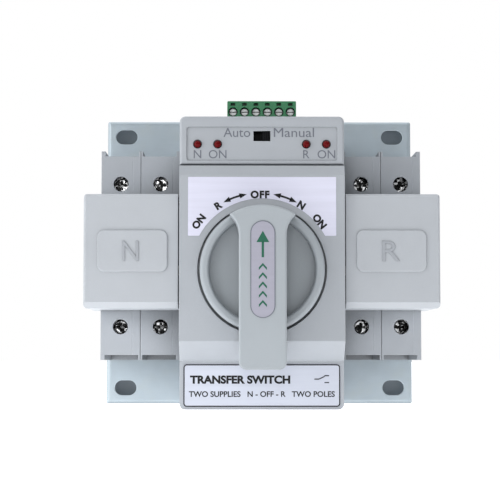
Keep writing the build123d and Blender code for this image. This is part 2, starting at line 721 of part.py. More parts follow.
def header_cover():
    """Header above the dial: lamps, slide switch and the opening for the control plug."""
    wall = HOUSING_WALL
    cover = slab(-HOUSING_HALF, HOUSING_HALF, HEADER_Y + SEAM_HALF, HOUSING_TOP, SPLIT_Z, HEADER_Z)
    cover = fillet(cover.edges().filter_by(Axis.Z).group_by(Axis.Y)[-1], 2.5)
    cover = fillet(edges_at(cover, Axis.Z, HEADER_Z), 1.2)
    cover -= slab(
        -HOUSING_HALF + wall,
        HOUSING_HALF - wall,
        HEADER_Y - 1,
        HOUSING_TOP - wall,
        SPLIT_Z - 1,
        HEADER_Z - wall,
    )
    width, height = HEADER_RECESS
    recess = Pos(0, HEADER_RECESS_Y, 0) * RectangleRounded(width, height, 1.2)
    cover -= sheet_z(recess, HEADER_Z - RECESS_DEPTH, HEADER_Z + 1)
    for x in (-24.5, 24.5):
        for y in (42.0, 53.5):
            cover += post(x, y, BOARD_FRONT_Z, HEADER_Z - wall + 0.2, 2.4)
    for x in (-COLUMN_X, COLUMN_X):
        cover += post(x, COLUMN_YS[2], SPLIT_Z, HEADER_Z - wall + 0.2, COLUMN_RADIUS)
        cover -= post(x, COLUMN_YS[2], SPLIT_Z - 1, COLUMN_HOLE_TOP_Z, COLUMN_HOLE_RADIUS)
    for x in LAMP_XS:
        cover -= post(x, LAMP_Y, HEADER_Z - wall - 1, HEADER_Z + 1, LAMP_RADIUS + 0.15)
    width, height = SWITCH_OPENING
    low, high = SWITCH_Y - height / 2, SWITCH_Y + height / 2
    cover -= slab(-width / 2, width / 2, low, high, HEADER_Z - wall - 1, HEADER_Z + 1)
    plug_half = SOCKET_HALF + 0.2
    back_z, front_z = BOARD_FRONT_Z - 0.2, SOCKET_FRONT_Z + 0.2
    return cover - slab(-plug_half, plug_half, HOUSING_TOP - wall - 1, HOUSING_TOP + 1, back_z, front_z)


def tray_screw(x, y):
    """Screw from inside the tray into the rear housing."""
    return pan_screw(x, y, TRAY_DEPTH - SHEET, 21.0, 3.8, 2.4, TRAY_SCREW_RADIUS)


# ---------------------------------------------------------------- mechanism


def involute(angle):
    return math.tan(angle) - angle


def gear_outline(teeth):
    """Points round a spur gear with involute flanks, a tooth centred on the x axis."""
    pitch = MODULE * teeth / 2
    pressure = math.radians(PRESSURE_ANGLE)
    base = pitch * math.cos(pressure)
    tip = pitch + ADDENDUM
    root = pitch - DEDENDUM
    half_tooth = math.pi / (2 * teeth) - BACKLASH / (2 * pitch)
    start = max(base, root)
    steps = 4
    flank = []
    for step in range(steps + 1):
        radius = start + (tip - start) * step / steps
        turn = math.acos(min(1.0, base / radius))
        flank.append((radius, half_tooth + involute(pressure) - involute(turn)))
    points = []
    for tooth in range(teeth):
        centre = 2 * math.pi * tooth / teeth
        foot = flank[0][1] + 0.01
        polar = [(root, -foot)]
        polar += [(radius, -angle) for radius, angle in flank]
        polar += [(radius, angle) for radius, angle in reversed(flank)]
        polar += [(root, foot)]
        for radius, angle in polar:
            points.append((radius * math.cos(centre + angle), radius * math.sin(centre + angle)))
    return points


def gear_blank(x, y, teeth, turn):
    """Spur gear in the gear plane, turned so that it meshes at rest."""
    face = make_face(Polyline(*gear_outline(teeth), close=True))
    return Pos(x, y, 0) * Rot(0, 0, turn) * sheet_z(face, GEAR_BACK_Z, GEAR_FRONT_Z)


def d_section(y, z0, z1, radius, flat):
    """Round bar along z with one flat on its upper side."""
    bar = post(0, y, z0, z1, radius)
    return bar - slab(-radius - 1, radius + 1, y + flat, y + radius + 1, z0 - 1, z1 + 1)


def main_shaft():
    """Shaft from the rear bearing to the handle, flatted for the gear and the handle."""
    flat_start = PLATE_FRONT_Z + 1.8
    shaft = post(0, DIAL_Y, SHAFT_BACK_Z, flat_start, SHAFT_RADIUS)
    shaft += d_section(DIAL_Y, flat_start - 0.1, SHAFT_FRONT_Z, SHAFT_RADIUS, SHAFT_FLAT)
    return shaft - post(0, DIAL_Y, SHAFT_FRONT_Z - 12, SHAFT_FRONT_Z + 1, HANDLE_SCREW_RADIUS + 0.04)


def shaft_bush():
    """Flanged bush that carries the shaft in the gear plate."""
    back_z, front_z = PLATE_BACK_Z - 6, PLATE_FRONT_Z + 1.3
    bush = post(0, DIAL_Y, back_z, PLATE_FRONT_Z + 0.1, BUSH_RADIUS)
    bush += post(0, DIAL_Y, PLATE_FRONT_Z + 0.05, front_z, 7.0)
    return bush - post(0, DIAL_Y, back_z - 1, front_z + 1, SHAFT_RADIUS + SHAFT_CLEARANCE)


def drive_gear():
    """Gear fixed on the shaft, driving both racks."""
    gear = gear_blank(0, DIAL_Y, DRIVE_TEETH, 0)
    gear += post(0, DIAL_Y, GEAR_BACK_Z - 2.1, GEAR_BACK_Z + 0.5, 7.0)
    ring, hole_radius, holes = 9.6, 1.8, 6
    for hole in range(holes):
        angle = math.radians(360 * hole / holes + 30)
        x, y = ring * math.cos(angle), DIAL_Y + ring * math.sin(angle)
        gear -= post(x, y, GEAR_BACK_Z - 1, GEAR_FRONT_Z + 1, hole_radius)
    radius, flat = SHAFT_RADIUS + FLAT_CLEARANCE, SHAFT_FLAT + FLAT_CLEARANCE
    return gear - d_section(DIAL_Y, GEAR_BACK_Z - 3, GEAR_FRONT_Z + 2, radius, flat)


def idler_gear():
    """Idler between the motor pinion and the drive gear."""
    turn = 180.0 / IDLER_TEETH
    gear = gear_blank(0, IDLER_Y, IDLER_TEETH, turn)
    return gear - post(0, IDLER_Y, GEAR_BACK_Z - 1, GEAR_FRONT_Z + 1, IDLER_PIN_RADIUS + PIN_CLEARANCE)


def idler_pin():
    """Shouldered pin riveted into the gear plate."""
    tail_z = PLATE_BACK_Z - 1.2
    ring_z = GEAR_FRONT_Z + 0.3
    pin = post(0, IDLER_Y, tail_z, ring_z + 1.3, IDLER_PIN_RADIUS)
    pin += post(0, IDLER_Y, tail_z, PLATE_BACK_Z, 3.6)
    pin += post(0, IDLER_Y, PLATE_FRONT_Z, GEAR_BACK_Z - 0.2, 4.2)
    return pin + post(0, IDLER_Y, ring_z, ring_z + 1, 4.0)


def motor_body():
    """Can motor hung behind the gear plate."""
    back_z = 16.0
    can = post(0, MOTOR_Y, back_z, PLATE_BACK_Z, 12.8)
    can = fillet(edges_at(can, Axis.Z, back_z), 1.5)
    can += post(0, MOTOR_Y, PLATE_BACK_Z - 0.5, PLATE_FRONT_Z, MOTOR_NOSE_RADIUS)
    can -= post(0, MOTOR_Y, back_z - 1, PLATE_FRONT_Z + 1, MOTOR_SHAFT_RADIUS + PIN_CLEARANCE)
    for x in (-MOTOR_SCREW_X, MOTOR_SCREW_X):
        can -= post(x, MOTOR_Y, PLATE_BACK_Z - 6, PLATE_BACK_Z + 1, MOTOR_SCREW_RADIUS + 0.05)
    return can


def motor_pinion():
    """Pinion pressed on the motor shaft."""
    pinion = gear_blank(0, MOTOR_Y, PINION_TEETH, 0)
    return pinion - post(0, MOTOR_Y, GEAR_BACK_Z - 1, GEAR_FRONT_Z + 1, MOTOR_SHAFT_RADIUS)


def gear_plate():
    """Steel plate that carries the gears, the guides and the motor."""
    plate = slab(-27.4, 27.4, -64.0, 40.0, PLATE_BACK_Z, PLATE_FRONT_Z)
    plate = chamfer(plate.edges().filter_by(Axis.Z), 3.0)
    holes = [
        (0, DIAL_Y, BUSH_RADIUS + 0.02),
        (0, IDLER_Y, IDLER_PIN_RADIUS + 0.02),
        (0, MOTOR_Y, MOTOR_NOSE_RADIUS + 0.1),
    ]
    holes += [(x, MOTOR_Y, MOTOR_SCREW_RADIUS + 0.2) for x in (-MOTOR_SCREW_X, MOTOR_SCREW_X)]
    holes += [(x, y, PLATE_SCREW_RADIUS + 0.24) for x, y in PLATE_SCREW_SPOTS]
    holes += [(x, y, GUIDE_PIN_RADIUS + 0.02) for x, y in guide_spots()]
    for x, y, radius in holes:
        plate -= post(x, y, PLATE_BACK_Z - 1, PLATE_FRONT_Z + 1, radius)
    return plate


def plate_screw(x, y):
    """Screw from the gear plate into a boss of the rear housing."""
    return pan_screw(x, y, PLATE_FRONT_Z, PLATE_BACK_Z - 10, 2.7, 1.8, PLATE_SCREW_RADIUS)


def motor_screw(x):
    """Screw through the gear plate into the motor."""
    return pan_screw(x, MOTOR_Y, PLATE_FRONT_Z, PLATE_BACK_Z - 5, 2.2, 1.4, MOTOR_SCREW_RADIUS)


def guide_spots():
    spots = []
    for x in (-RACK_SLOT_X, RACK_SLOT_X):
        for offset in (-GUIDE_SPACING, GUIDE_SPACING):
            spots.append((x, DIAL_Y + offset))
    return spots


def guide_pin(x, y):
    """Headed pin that a rack slides on."""
    tail_z = PLATE_BACK_Z - 0.8
    head_z = GEAR_FRONT_Z + 0.2
    pin = post(x, y, tail_z, head_z + 0.8, GUIDE_PIN_RADIUS)
    pin += post(x, y, tail_z, PLATE_BACK_Z, 2.8)
    pin += post(x, y, PLATE_FRONT_Z, GEAR_BACK_Z - 0.2, 3.0)
    return pin + post(x, y, head_z, head_z + 1.2, 3.1)


def right_rack():
    """Rack on the right of the drive gear, with the finger that reaches to the breaker."""
    pitch = math.pi * MODULE
    line = DRIVE_PITCH_RADIUS + MESH_CLEARANCE
    slope = math.tan(math.radians(PRESSURE_ANGLE))
    tip_x = line - ADDENDUM
    root_x = line + DEDENDUM
    half = pitch / 4 - BACKLASH / 2
    tip_half = half - ADDENDUM * slope
    root_half = half + DEDENDUM * slope
    teeth_each_way = 6
    points = [(root_x, DIAL_Y - RACK_HALF)]
    for tooth in range(-teeth_each_way, teeth_each_way):
        middle = DIAL_Y + (tooth + 0.5) * pitch
        points.append((root_x, middle - root_half))
        points.append((tip_x, middle - tip_half))
        points.append((tip_x, middle + tip_half))
        points.append((root_x, middle + root_half))
    points.append((root_x, DIAL_Y + RACK_HALF))
    points.append((RACK_OUTER_X, DIAL_Y + RACK_HALF))
    points.append((RACK_OUTER_X, DIAL_Y - RACK_HALF))
    rack = sheet_z(make_face(Polyline(*points, close=True)), GEAR_BACK_Z, GEAR_FRONT_Z)
    slot_half = GUIDE_SPACING + GUIDE_PIN_RADIUS + RACK_TRAVEL + 0.3
    slot = Rot(0, 0, 90) * SlotOverall(2 * slot_half, 2 * GUIDE_PIN_RADIUS + 0.1)
    rack -= Pos(RACK_SLOT_X, DIAL_Y, 0) * sheet_z(slot, GEAR_BACK_Z - 1, GEAR_FRONT_Z + 1)
    root = RACK_OUTER_X - 0.9
    rack += slab(root, RACK_OUTER_X + 3, FINGER_LOW_Y, FINGER_HIGH_Y, GEAR_BACK_Z, FINGER_FRONT_Z)
    tip = BREAKER_INNER_X + 2.5
    return rack + slab(root, tip, FINGER_LOW_Y, FINGER_HIGH_Y, FINGER_BACK_Z, FINGER_FRONT_Z)


def limit_switch(x):
    """End-of-travel switch beside the top of a rack, with its lever."""
    body = slab(x - 4.5, x + 4.5, 31.2, 38.6, PLATE_FRONT_Z, 65.2)
    body = chamfer(edges_at(body, Axis.Z, 65.2), 0.4)
    lever = slab(x - 1.5, x + 4.5, 30.6, 31.3, 59.5, 63.7)
    button = rod_y(x + 3.0, 29.9, 30.8, 61.6, 0.6)
    return body + lever + button


# ---------------------------------------------------------------- control side


def control_board():
    """Circuit board behind the header, narrowed where it passes the screw columns."""
    board = slab(-27.5, 27.5, BOARD_BOTTOM, 55.5, BOARD_BACK_Z, BOARD_FRONT_Z)
    board += slab(-30.8, 30.8, 38.0, 48.4, BOARD_BACK_Z, BOARD_FRONT_Z)
    for x in LAMP_XS:
        for lead in (-1.0, 1.0):
            board -= post(x + lead, LAMP_Y, 65, 69, 0.45)
    for x in way_xs():
        board -= slab(x - 0.55, x + 0.55, 45.95, 46.95, 65, 69)
    return board


def relay(x):
    """Sealed relay on the board."""
    body = slab(x - 6.7, x + 6.7, BOARD_BOTTOM + 0.4, 45.4, BOARD_FRONT_Z, 82.0)
    return fillet(body.edges().filter_by(Axis.Z) + edges_at(body, Axis.Z, 82.0), 0.6)


def lamp(x):
    """Domed lamp on two leads."""
    dome = post(x, LAMP_Y, 80.0, 88.8, LAMP_RADIUS)
    dome += Pos(x, LAMP_Y, 88.8) * Sphere(LAMP_RADIUS)
    dome += post(x, LAMP_Y, 80.0, 81.2, 2.2)
    for lead in (-1.0, 1.0):
        dome += post(x + lead, LAMP_Y, 65.0, 80.2, 0.3)
    return dome


def mode_switch_body():
    """Frame of the Auto / Manual slide switch behind its opening."""
    body = slab(-6.2, 6.2, 47.6, 53.2, 80.2, HEADER_Z - HOUSING_WALL)
    return body - slab(-4.7, 4.7, 48.3, 52.5, 82.0, HEADER_Z)


def mode_switch_knob():
    """Slider of the mode switch, at Manual."""
    foot = slab(KNOB_X - 2.6, KNOB_X + 2.6, 48.5, 52.3, 82.2, 84.2)
    stem = slab(KNOB_X - 1.6, KNOB_X + 1.6, 48.5, 52.3, 84.0, 88.6)
    stem = fillet(edges_at(stem, Axis.Z, 88.6), 0.4)
    for rib in (-0.9, 0.0, 0.9):
        stem -= slab(KNOB_X + rib - 0.18, KNOB_X + rib + 0.18, 48.0, 53.0, 88.2, 89.0)
    return foot + stem


def way_xs():
    return [(way + 0.5) * WAY_PITCH - PLUG_HALF for way in range(WAYS)]


def control_socket():
    """Board socket that the control plug is pushed into."""
    socket = slab(-SOCKET_HALF, SOCKET_HALF, SOCKET_BACK_Y, 57.9, BOARD_FRONT_Z, SOCKET_FRONT_Z)
    inner_half = SOCKET_HALF - 0.9
    socket -= slab(-inner_half, inner_half, SOCKET_BACK_Y + 1.5, 59, 70.7, SOCKET_FRONT_Z - 0.8)
    half = PIN_HALF + 0.02
    for x in way_xs():
        socket -= slab(x - half, x + half, 46, 49, PIN_Z - half, PIN_Z + half)
    return socket


def socket_pin(x):
    """Square pin, bent down to the board."""
    left, right, top = x - PIN_HALF, x + PIN_HALF, PIN_Z + PIN_HALF
    bend_y = SOCKET_BACK_Y - 0.9
    pin = slab(left, right, bend_y, bend_y + 10, PIN_Z - PIN_HALF, top)
    return pin + slab(left, right, bend_y, SOCKET_BACK_Y, BOARD_BACK_Z - 0.8, top)


def control_plug():
    """Pluggable screw terminal: screws face the front, wires enter from above."""
    body = slab(-PLUG_HALF, PLUG_HALF, PLUG_Y, PLUG_TOP, PLUG_BACK_Z, PLUG_FRONT_Z)
    body = fillet(edges_at(body, Axis.Y, PLUG_TOP), 0.6)
    plug = body + slab(-PLUG_HALF + 0.1, PLUG_HALF - 0.1, 48.7, PLUG_Y + 0.1, 71.0, 78.5)
    for x in way_xs():
        plug -= post(x, PLUG_SCREW_Y, 74.0, PLUG_FRONT_Z + 1, 2.05)
        plug -= slab(x - 1.0, x + 1.0, PLUG_SCREW_Y + 2.7, PLUG_TOP - 0.9, 78.0, PLUG_FRONT_Z + 1)
        plug -= slab(x - 1.8, x + 1.8, 62.0, PLUG_TOP + 1, 71.6, 75.6)
        plug -= slab(x - 0.65, x + 0.65, 48, 58.4, PIN_Z - 0.65, PIN_Z + 0.65)
    return plug


def plug_screw(x):
    """Wire screw of one way, slotted across."""
    head = post(x, PLUG_SCREW_Y, 76.4, 79.8, 1.75)
    head = fillet(edges_at(head, Axis.Z, 79.8), 0.35)
    slot = slab(x - 2, x + 2, PLUG_SCREW_Y - 0.25, PLUG_SCREW_Y + 0.25, 79.0, 81)
    return head + post(x, PLUG_SCREW_Y, 74.2, 77, 1.2) - slot


# ---------------------------------------------------------------- handle


def grip_outline():
    """Front outline of the T-shaped grip: arc head, concave neck, straight bar with rounded ends."""
    head_x, head_y = 14.0, 22.6
    head_radius = math.hypot(head_x, head_y)
    neck_y = 14.2
    neck_middle = (GRIP_HALF + 1.1, neck_y + 4.6)
    corner = 3.2
    arc = corner * (1 - math.sqrt(0.5))
    low = GRIP_BOTTOM
    lines = [
        ThreePointArc((-head_x, head_y), (0, head_radius), (head_x, head_y)),
        ThreePointArc((head_x, head_y), neck_middle, (GRIP_HALF, neck_y)),
        Line((GRIP_HALF, neck_y), (GRIP_HALF, low + corner)),
        ThreePointArc((GRIP_HALF, low + corner), (GRIP_HALF - arc, low + arc), (GRIP_HALF - corner, low)),
        Line((GRIP_HALF - corner, low), (-GRIP_HALF + corner, low)),
        ThreePointArc((-GRIP_HALF + corner, low), (-GRIP_HALF + arc, low + arc), (-GRIP_HALF, low + corner)),
        Line((-GRIP_HALF, low + corner), (-GRIP_HALF, neck_y)),
        ThreePointArc((-GRIP_HALF, neck_y), (-neck_middle[0], neck_middle[1]), (-head_x, head_y)),
    ]
    return make_face(lines)


def handle():
    """Disc with a raised rim and a T-shaped grip, bored for the flatted shaft."""
    disc = post(0, 0, DISC_BACK_Z, RIM_Z, DISC_RADIUS)
    disc = fillet(edges_at(disc, Axis.Z, RIM_Z), 1.9)
    pan = post(0, 0, DISC_FLOOR_Z, RIM_Z + 1, RIM_INNER_RADIUS)
    disc -= pan
    disc = fillet(edges_at(disc, Axis.Z, RIM_Z), 1.2)
    grip = sheet_z(grip_outline(), DISC_FLOOR_Z, GRIP_Z)
    grip = fillet(edges_at(grip, Axis.Z, GRIP_Z), 0.9)
    whole = disc + grip
    radius, flat = SHAFT_RADIUS + FLAT_CLEARANCE, SHAFT_FLAT + FLAT_CLEARANCE
    whole -= d_section(0, DISC_BACK_Z - 1, SHAFT_FRONT_Z + 0.2, radius, flat)
    whole -= post(0, 0, SHAFT_FRONT_Z, HANDLE_SCREW_Z + 1, 2.2)
    whole -= post(0, 0, HANDLE_SCREW_Z, GRIP_Z + 1, 4.1)
    return Pos(0, DIAL_Y, 0) * whole


def handle_screw():
    """Screw that holds the handle on the shaft, under the grip label."""
    return pan_screw(0, DIAL_Y, HANDLE_SCREW_Z, SHAFT_FRONT_Z - 11, 3.9, 2.6, HANDLE_SCREW_RADIUS)


# ---------------------------------------------------------------- labels and covers


def handle_sticker():
    label = Rot(0, 0, 90) * SlotOverall(41.0, 10.4)
    return Pos(0, -9.2, 0) * sheet_z(label, GRIP_Z, GRIP_Z + LABEL_THICKNESS)


def dial_label():
    """Label above the dial, cut to an arc round the handle."""
    sheet = Pos(0, 19.15, 0) * RectangleRounded(64.4, 25.7, 0.4)
    label = sheet_z(sheet, MAIN_Z, MAIN_Z + LABEL_THICKNESS)
    return label - post(0, DIAL_Y, MAIN_Z - 1, MAIN_Z + 1, LABEL_ARC_RADIUS)


def rating_label():
    middle = (RATING_TOP + RATING_BOTTOM) / 2
    height = RATING_TOP - RATING_BOTTOM
    sheet = Pos(0, middle, 0) * RectangleRounded(RATING_WIDTH, height, 1.6)
    return sheet_z(sheet, LEDGE_Z, LEDGE_Z + LABEL_THICKNESS)


def reserve_cover():
    """Cover over the right-hand toggles, wrapped round the breaker's outer side."""
    half = COVER_HALF
    lower_bevel, upper_bevel, side_bevel = 2.6, 0.9, 0.7
    profile = [
        (-half, COVER_BACK_Z),
        (-half, COVER_Z - lower_bevel),
        (-half + lower_bevel, COVER_Z),
        (half - upper_bevel, COVER_Z),
        (half, COVER_Z - upper_bevel),
        (half, COVER_BACK_Z),
    ]
    plan = [
        (COVER_INNER_X, COVER_BACK_Z),
        (COVER_INNER_X, COVER_Z),
        (COVER_OUTER_X - side_bevel, COVER_Z),
        (COVER_OUTER_X, COVER_Z - side_bevel),
        (COVER_OUTER_X, COVER_BACK_Z),
    ]
    cover = sweep_x(profile, COVER_INNER_X, COVER_OUTER_X) & sweep_y(plan, -half, half)
    round_half = (COVER_OUTER_X - COVER_INNER_X) / 2 + 10
    front = Pos(COVER_OUTER_X - round_half, 0, 0) * RectangleRounded(2 * round_half, 2 * half, 1.5)
    cover = cover & sheet_z(front, COVER_BACK_Z, COVER_Z)
    inner = half - COVER_WALL
    inner_side = COVER_OUTER_X - COVER_WALL
    cover -= slab(COVER_INNER_X - 1, inner_side, -inner, inner, COVER_BACK_Z - 1, COVER_Z - COVER_WALL)
    breaker_side = BREAKER_INNER_X + 2 * POLE_PITCH + 0.3
    cover -= slab(COVER_INNER_X - 1, breaker_side, -half - 1, half + 1, COVER_BACK_Z - 1, SHOULDER_Z + 0.2)
    panel = Pos(PANEL_X, 0, 0) * RectangleRounded(30.5, 18.2, 3.0)
    panel_z = COVER_Z + 0.8
    raised = sheet_z(panel, COVER_Z - 0.2, panel_z)
    cover += fillet(edges_at(raised, Axis.Z, panel_z), 0.4)
    for edge in (-1, 1):
        low, high = sorted((edge * inner, edge * (half - 0.1)))
        cover += slab(COVER_INNER_X - 2.4, COVER_INNER_X + 0.5, low, high, TAB_BACK_Z, TAB_FRONT_Z)
    return cover


# ---------------------------------------------------------------- export


def write_breakers():
    left = breaker_case(BREAKER_LEFT_X)
    right = breaker_case(BREAKER_RIGHT_X)
    place("normal_pole_cases", left[0])
    place("normal_pole_lids", left[1])
    place("reserve_pole_cases", right[0])
    place("reserve_pole_lids", right[1])
    place("case_rivets", [case_rivet(x0, y, z) for x0 in breaker_origins() for y, z in RIVET_SPOTS])
    middles = pole_middles()
    screws = [terminal_screw(x, side * TERMINAL_Y) for x in middles for side in (-1, 1)]
    place("terminal_screws", screws)
    place("terminal_clamps", [terminal_clamp(x, side) for x in middles for side in (-1, 1)])
    place("fixed_contacts", [fixed_contact(x) for x in middles])
    place("trip_coils", [trip_coil(x) for x in middles])
    place("arc_chutes", [arc_chute(x) for x in middles])
    place("bimetal_straps", [bimetal_strap(x) for x in middles])
    pins = [pivot_pin(x, y, z) for x in middles for y, z in ((0, TOGGLE_Z), (ARM_Y, ARM_Z))]
    place("pivot_pins", pins)
    for name, x0, pair in (
        ("normal", BREAKER_LEFT_X, middles[:2]),
        ("reserve", BREAKER_RIGHT_X, middles[2:]),
    ):
        place(f"{name}_toggles", [toggle(x) for x in pair])
        place(f"{name}_toggle_tie", [toggle_tie(x0)])
        place(f"{name}_contact_arms", [contact_arm(x) for x in pair])
        place(f"{name}_din_clip", [din_clip(x0)])


def write_drive():
    place("mechanism_base", [mechanism_base()])
    place("front_cover", [front_cover()])
    place("header_cover", [header_cover()])
    place("housing_screws", [housing_screw(x, y) for x in (-COLUMN_X, COLUMN_X) for y in COLUMN_YS])
    place("tray_screws", [tray_screw(x, y) for x, y in TRAY_SCREW_SPOTS])
    place("gear_plate", [gear_plate()])
    place("gear_plate_screws", [plate_screw(x, y) for x, y in PLATE_SCREW_SPOTS])
    place("shaft_bush", [shaft_bush()])
    place("main_shaft", [main_shaft()])
    place("drive_gear", [drive_gear()])
    place("idler_pin", [idler_pin()])
    place("idler_gear", [idler_gear()])
    place("motor_body", [motor_body()])
    place("motor_screws", [motor_screw(x) for x in (-MOTOR_SCREW_X, MOTOR_SCREW_X)])
    place("motor_shaft", [post(0, MOTOR_Y, 17.0, GEAR_FRONT_Z + 1, MOTOR_SHAFT_RADIUS)])
    place("motor_pinion", [motor_pinion()])
    rack = right_rack()
    place("reserve_rack", [rack])
    place("normal_rack", [mirrored(rack)])
    place("rack_guide_pins", [guide_pin(x, y) for x, y in guide_spots()])
    place("limit_switches", [limit_switch(22.5), mirrored(limit_switch(22.5))])


def write_controls():
    place("control_board", [control_board()])
    place("relays", [relay(-7.4), relay(7.4)])
    place("indicator_leds", [lamp(x) for x in LAMP_XS])
    place("mode_switch_body", [mode_switch_body()])
    place("mode_switch_knob", [mode_switch_knob()])
    place("control_socket", [control_socket()])
    place("socket_pins", [socket_pin(x) for x in way_xs()])
    place("control_plug", [control_plug()])
    place("plug_screws", [plug_screw(x) for x in way_xs()])


def write_outside():
    place("base_tray", [base_tray()])
    place("mounting_rails", [mounting_rail(x0) for x0 in breaker_origins()])
    place("rail_rivets", [rail_rivet(x, y) for x, y in rail_rivet_spots()])
    place("handle", [handle()])
    place("handle_screw", [handle_screw()])
    place("handle_sticker", [handle_sticker()])
    place("dial_label", [dial_label()])
    place("rating_label", [rating_label()])
    cover = reserve_cover()
    place("reserve_cover", [cover])
    place("normal_cover", [mirrored(cover)])


os.makedirs("parts", exist_ok=True)
write_outside()
write_breakers()
write_drive()
write_controls()
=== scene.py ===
import json
import math

import bmesh
import bpy
from mathutils import Matrix, Vector

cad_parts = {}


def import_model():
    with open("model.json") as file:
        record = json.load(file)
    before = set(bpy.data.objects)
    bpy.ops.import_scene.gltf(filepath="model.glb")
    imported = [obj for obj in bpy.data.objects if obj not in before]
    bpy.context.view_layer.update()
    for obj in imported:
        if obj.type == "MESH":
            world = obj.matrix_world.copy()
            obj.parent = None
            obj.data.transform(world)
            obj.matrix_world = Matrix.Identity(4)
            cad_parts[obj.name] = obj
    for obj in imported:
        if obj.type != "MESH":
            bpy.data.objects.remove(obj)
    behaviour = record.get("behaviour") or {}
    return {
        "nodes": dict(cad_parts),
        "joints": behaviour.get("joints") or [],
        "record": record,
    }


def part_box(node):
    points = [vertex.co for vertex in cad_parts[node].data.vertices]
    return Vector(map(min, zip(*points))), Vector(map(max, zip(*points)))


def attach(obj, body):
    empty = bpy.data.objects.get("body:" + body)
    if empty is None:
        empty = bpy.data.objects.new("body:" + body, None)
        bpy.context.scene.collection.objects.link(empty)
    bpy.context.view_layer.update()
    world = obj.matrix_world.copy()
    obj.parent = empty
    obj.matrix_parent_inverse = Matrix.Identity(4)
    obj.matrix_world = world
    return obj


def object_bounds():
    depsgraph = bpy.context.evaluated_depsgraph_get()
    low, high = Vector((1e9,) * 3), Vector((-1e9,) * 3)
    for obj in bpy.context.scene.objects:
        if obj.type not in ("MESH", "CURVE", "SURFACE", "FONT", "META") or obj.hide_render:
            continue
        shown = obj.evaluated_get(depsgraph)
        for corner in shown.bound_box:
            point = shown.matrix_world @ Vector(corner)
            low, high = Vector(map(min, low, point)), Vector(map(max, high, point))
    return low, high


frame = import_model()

# Looks of the dual-supply transfer switch. Pieces made here are drawn in the front view, in millimetres:
# x to the right, y up the face, z out towards the viewer. TO_ROW turns that into the shared frame, in
# metres.

cad_low, cad_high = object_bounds()
record = frame["record"]
nodes_by_name = frame["nodes"]
scene = bpy.context.scene

MM = 0.001
TO_ROW = Matrix.Rotation(math.radians(90), 4, "X") @ Matrix.Scale(MM, 4)

# Print and typeface
PRINT_THICKNESS = 0.04
PRINT_GAP = 0.01
# Height of a capital as a share of the type size
CAP_SHARE = 0.69
CORNER_STEPS = 8
LABEL_CORNER_STEPS = 16

# Dial
DIAL_PRINT_RADIUS = 33.3
DIAL_PRINT_X = -0.9
DIAL_CAP_HEIGHT = 2.95
DIAL_WEIGHT = 0.05
# Legend, degrees clockwise from the top, millimetres outside the print radius, letter spacing
DIAL_LEGENDS = (
    ("ON", -52.0, 0.5, 1.0),
    ("R", -33.0, 0, 1.0),
    ("OFF", 0, -0.6, 1.14),
    ("N", 32.6, 0, 1.0),
    ("ON", 50.8, 0, 1.0),
)
# Degrees from the top to the near and far tips of each curved arrow, and the arc that a head takes
ARROW_NEAR = 10.0
ARROW_FAR = 28.6
ARROW_HEAD = 5.5
ARROW_HEAD_HALF = 1.15
ARROW_LINE_HALF = 0.42
# The line stops this share of a head's length behind its tip
ARROW_LINE_STOP = 0.8
ARROW_STEPS = 12

# Header
HEADER_RECESS = 0.6
LAMP_XS = (-28.2, -19.4, 19.4, 28.2)
LAMP_Y = 46.8
LAMP_RIM_RADII = (1.95, 1.71)
LAMP_RIM_STEPS = 32
LAMP_LEGENDS = ("N", "ON", "R", "ON")
LAMP_LEGEND_Y = 42.4
LAMP_LEGEND_CAP = 3.6
# Legend, x, how wide it is drawn
SWITCH_LEGENDS = (("Auto", -11.0, 1.0), ("Manual", 14.0, 1.12))
SWITCH_LEGEND_Y = 52.0
SWITCH_LEGEND_CAP = 4.0

# Letters on the covers: height over the panel, and how far they reach into it
LETTER_RAISE = 0.35
LETTER_ROOT = 0.05
LETTER_CAP = 8.8

# Grip label
GRIP_LABEL_CORNER = 5.15
GRIP_LABEL_LINE = 0.28
# Arrow's tip below the label's top edge
GRIP_TIP = 4.3
GRIP_HEAD_HALF, GRIP_HEAD_LENGTH = 2.7, 4.8
GRIP_LINE_HALF = 0.5
# Millimetres below the arrow's tip where its line starts and ends, and where the chevrons start
GRIP_LINE_ENDS = (4.6, 11.2)
CHEVRON_START = 13.6
CHEVRON_PITCH = 3.9
CHEVRON_COUNT = 5
CHEVRON_HALF, CHEVRON_DROP, CHEVRON_THICKNESS = 1.7, 1.9, 1.1

# Rating plate
# Inset from the label's edge and corner radius, for the outside and the inside of the line round it
RATING_LINE = ((0.1, 1.5), (0.62, 1.0))
# Wording, x from the middle, how far below the top edge, cap height, weight, how wide it is drawn
RATING_WORDS = (
    ("TRANSFER SWITCH", -9.5, 6.8, 3.2, 0.045, 1.08),
    ("TWO SUPPLIES   N - OFF - R   TWO POLES", 0, 13.1, 2.35, 0.02, 1.0),
)
# Changeover symbol: how far it is left of and below the label's top right corner, and its strokes
SYMBOL_PLACE = (8.2, 6.6)
SYMBOL_LINE_HALF = 0.22
SYMBOL_STROKES = (
    ((-3.2, 0), (-1.2, 0)),
    ((-1.2, 0), (1.3, 1.2)),
    ((1.2, 1.5), (3.2, 1.5)),
    ((1.2, -1.5), (3.2, -1.5)),
)

# Camera: place in metres, angles in degrees, lens and sensor in millimetres
CAMERA_PLACE = (-0.01078, -0.77076, -0.04586)
CAMERA_PITCH = 3.872
CAMERA_YAW = 0.461
CAMERA_LENS = 114.2
SENSOR = 36.0
CLIP_START = 0.01

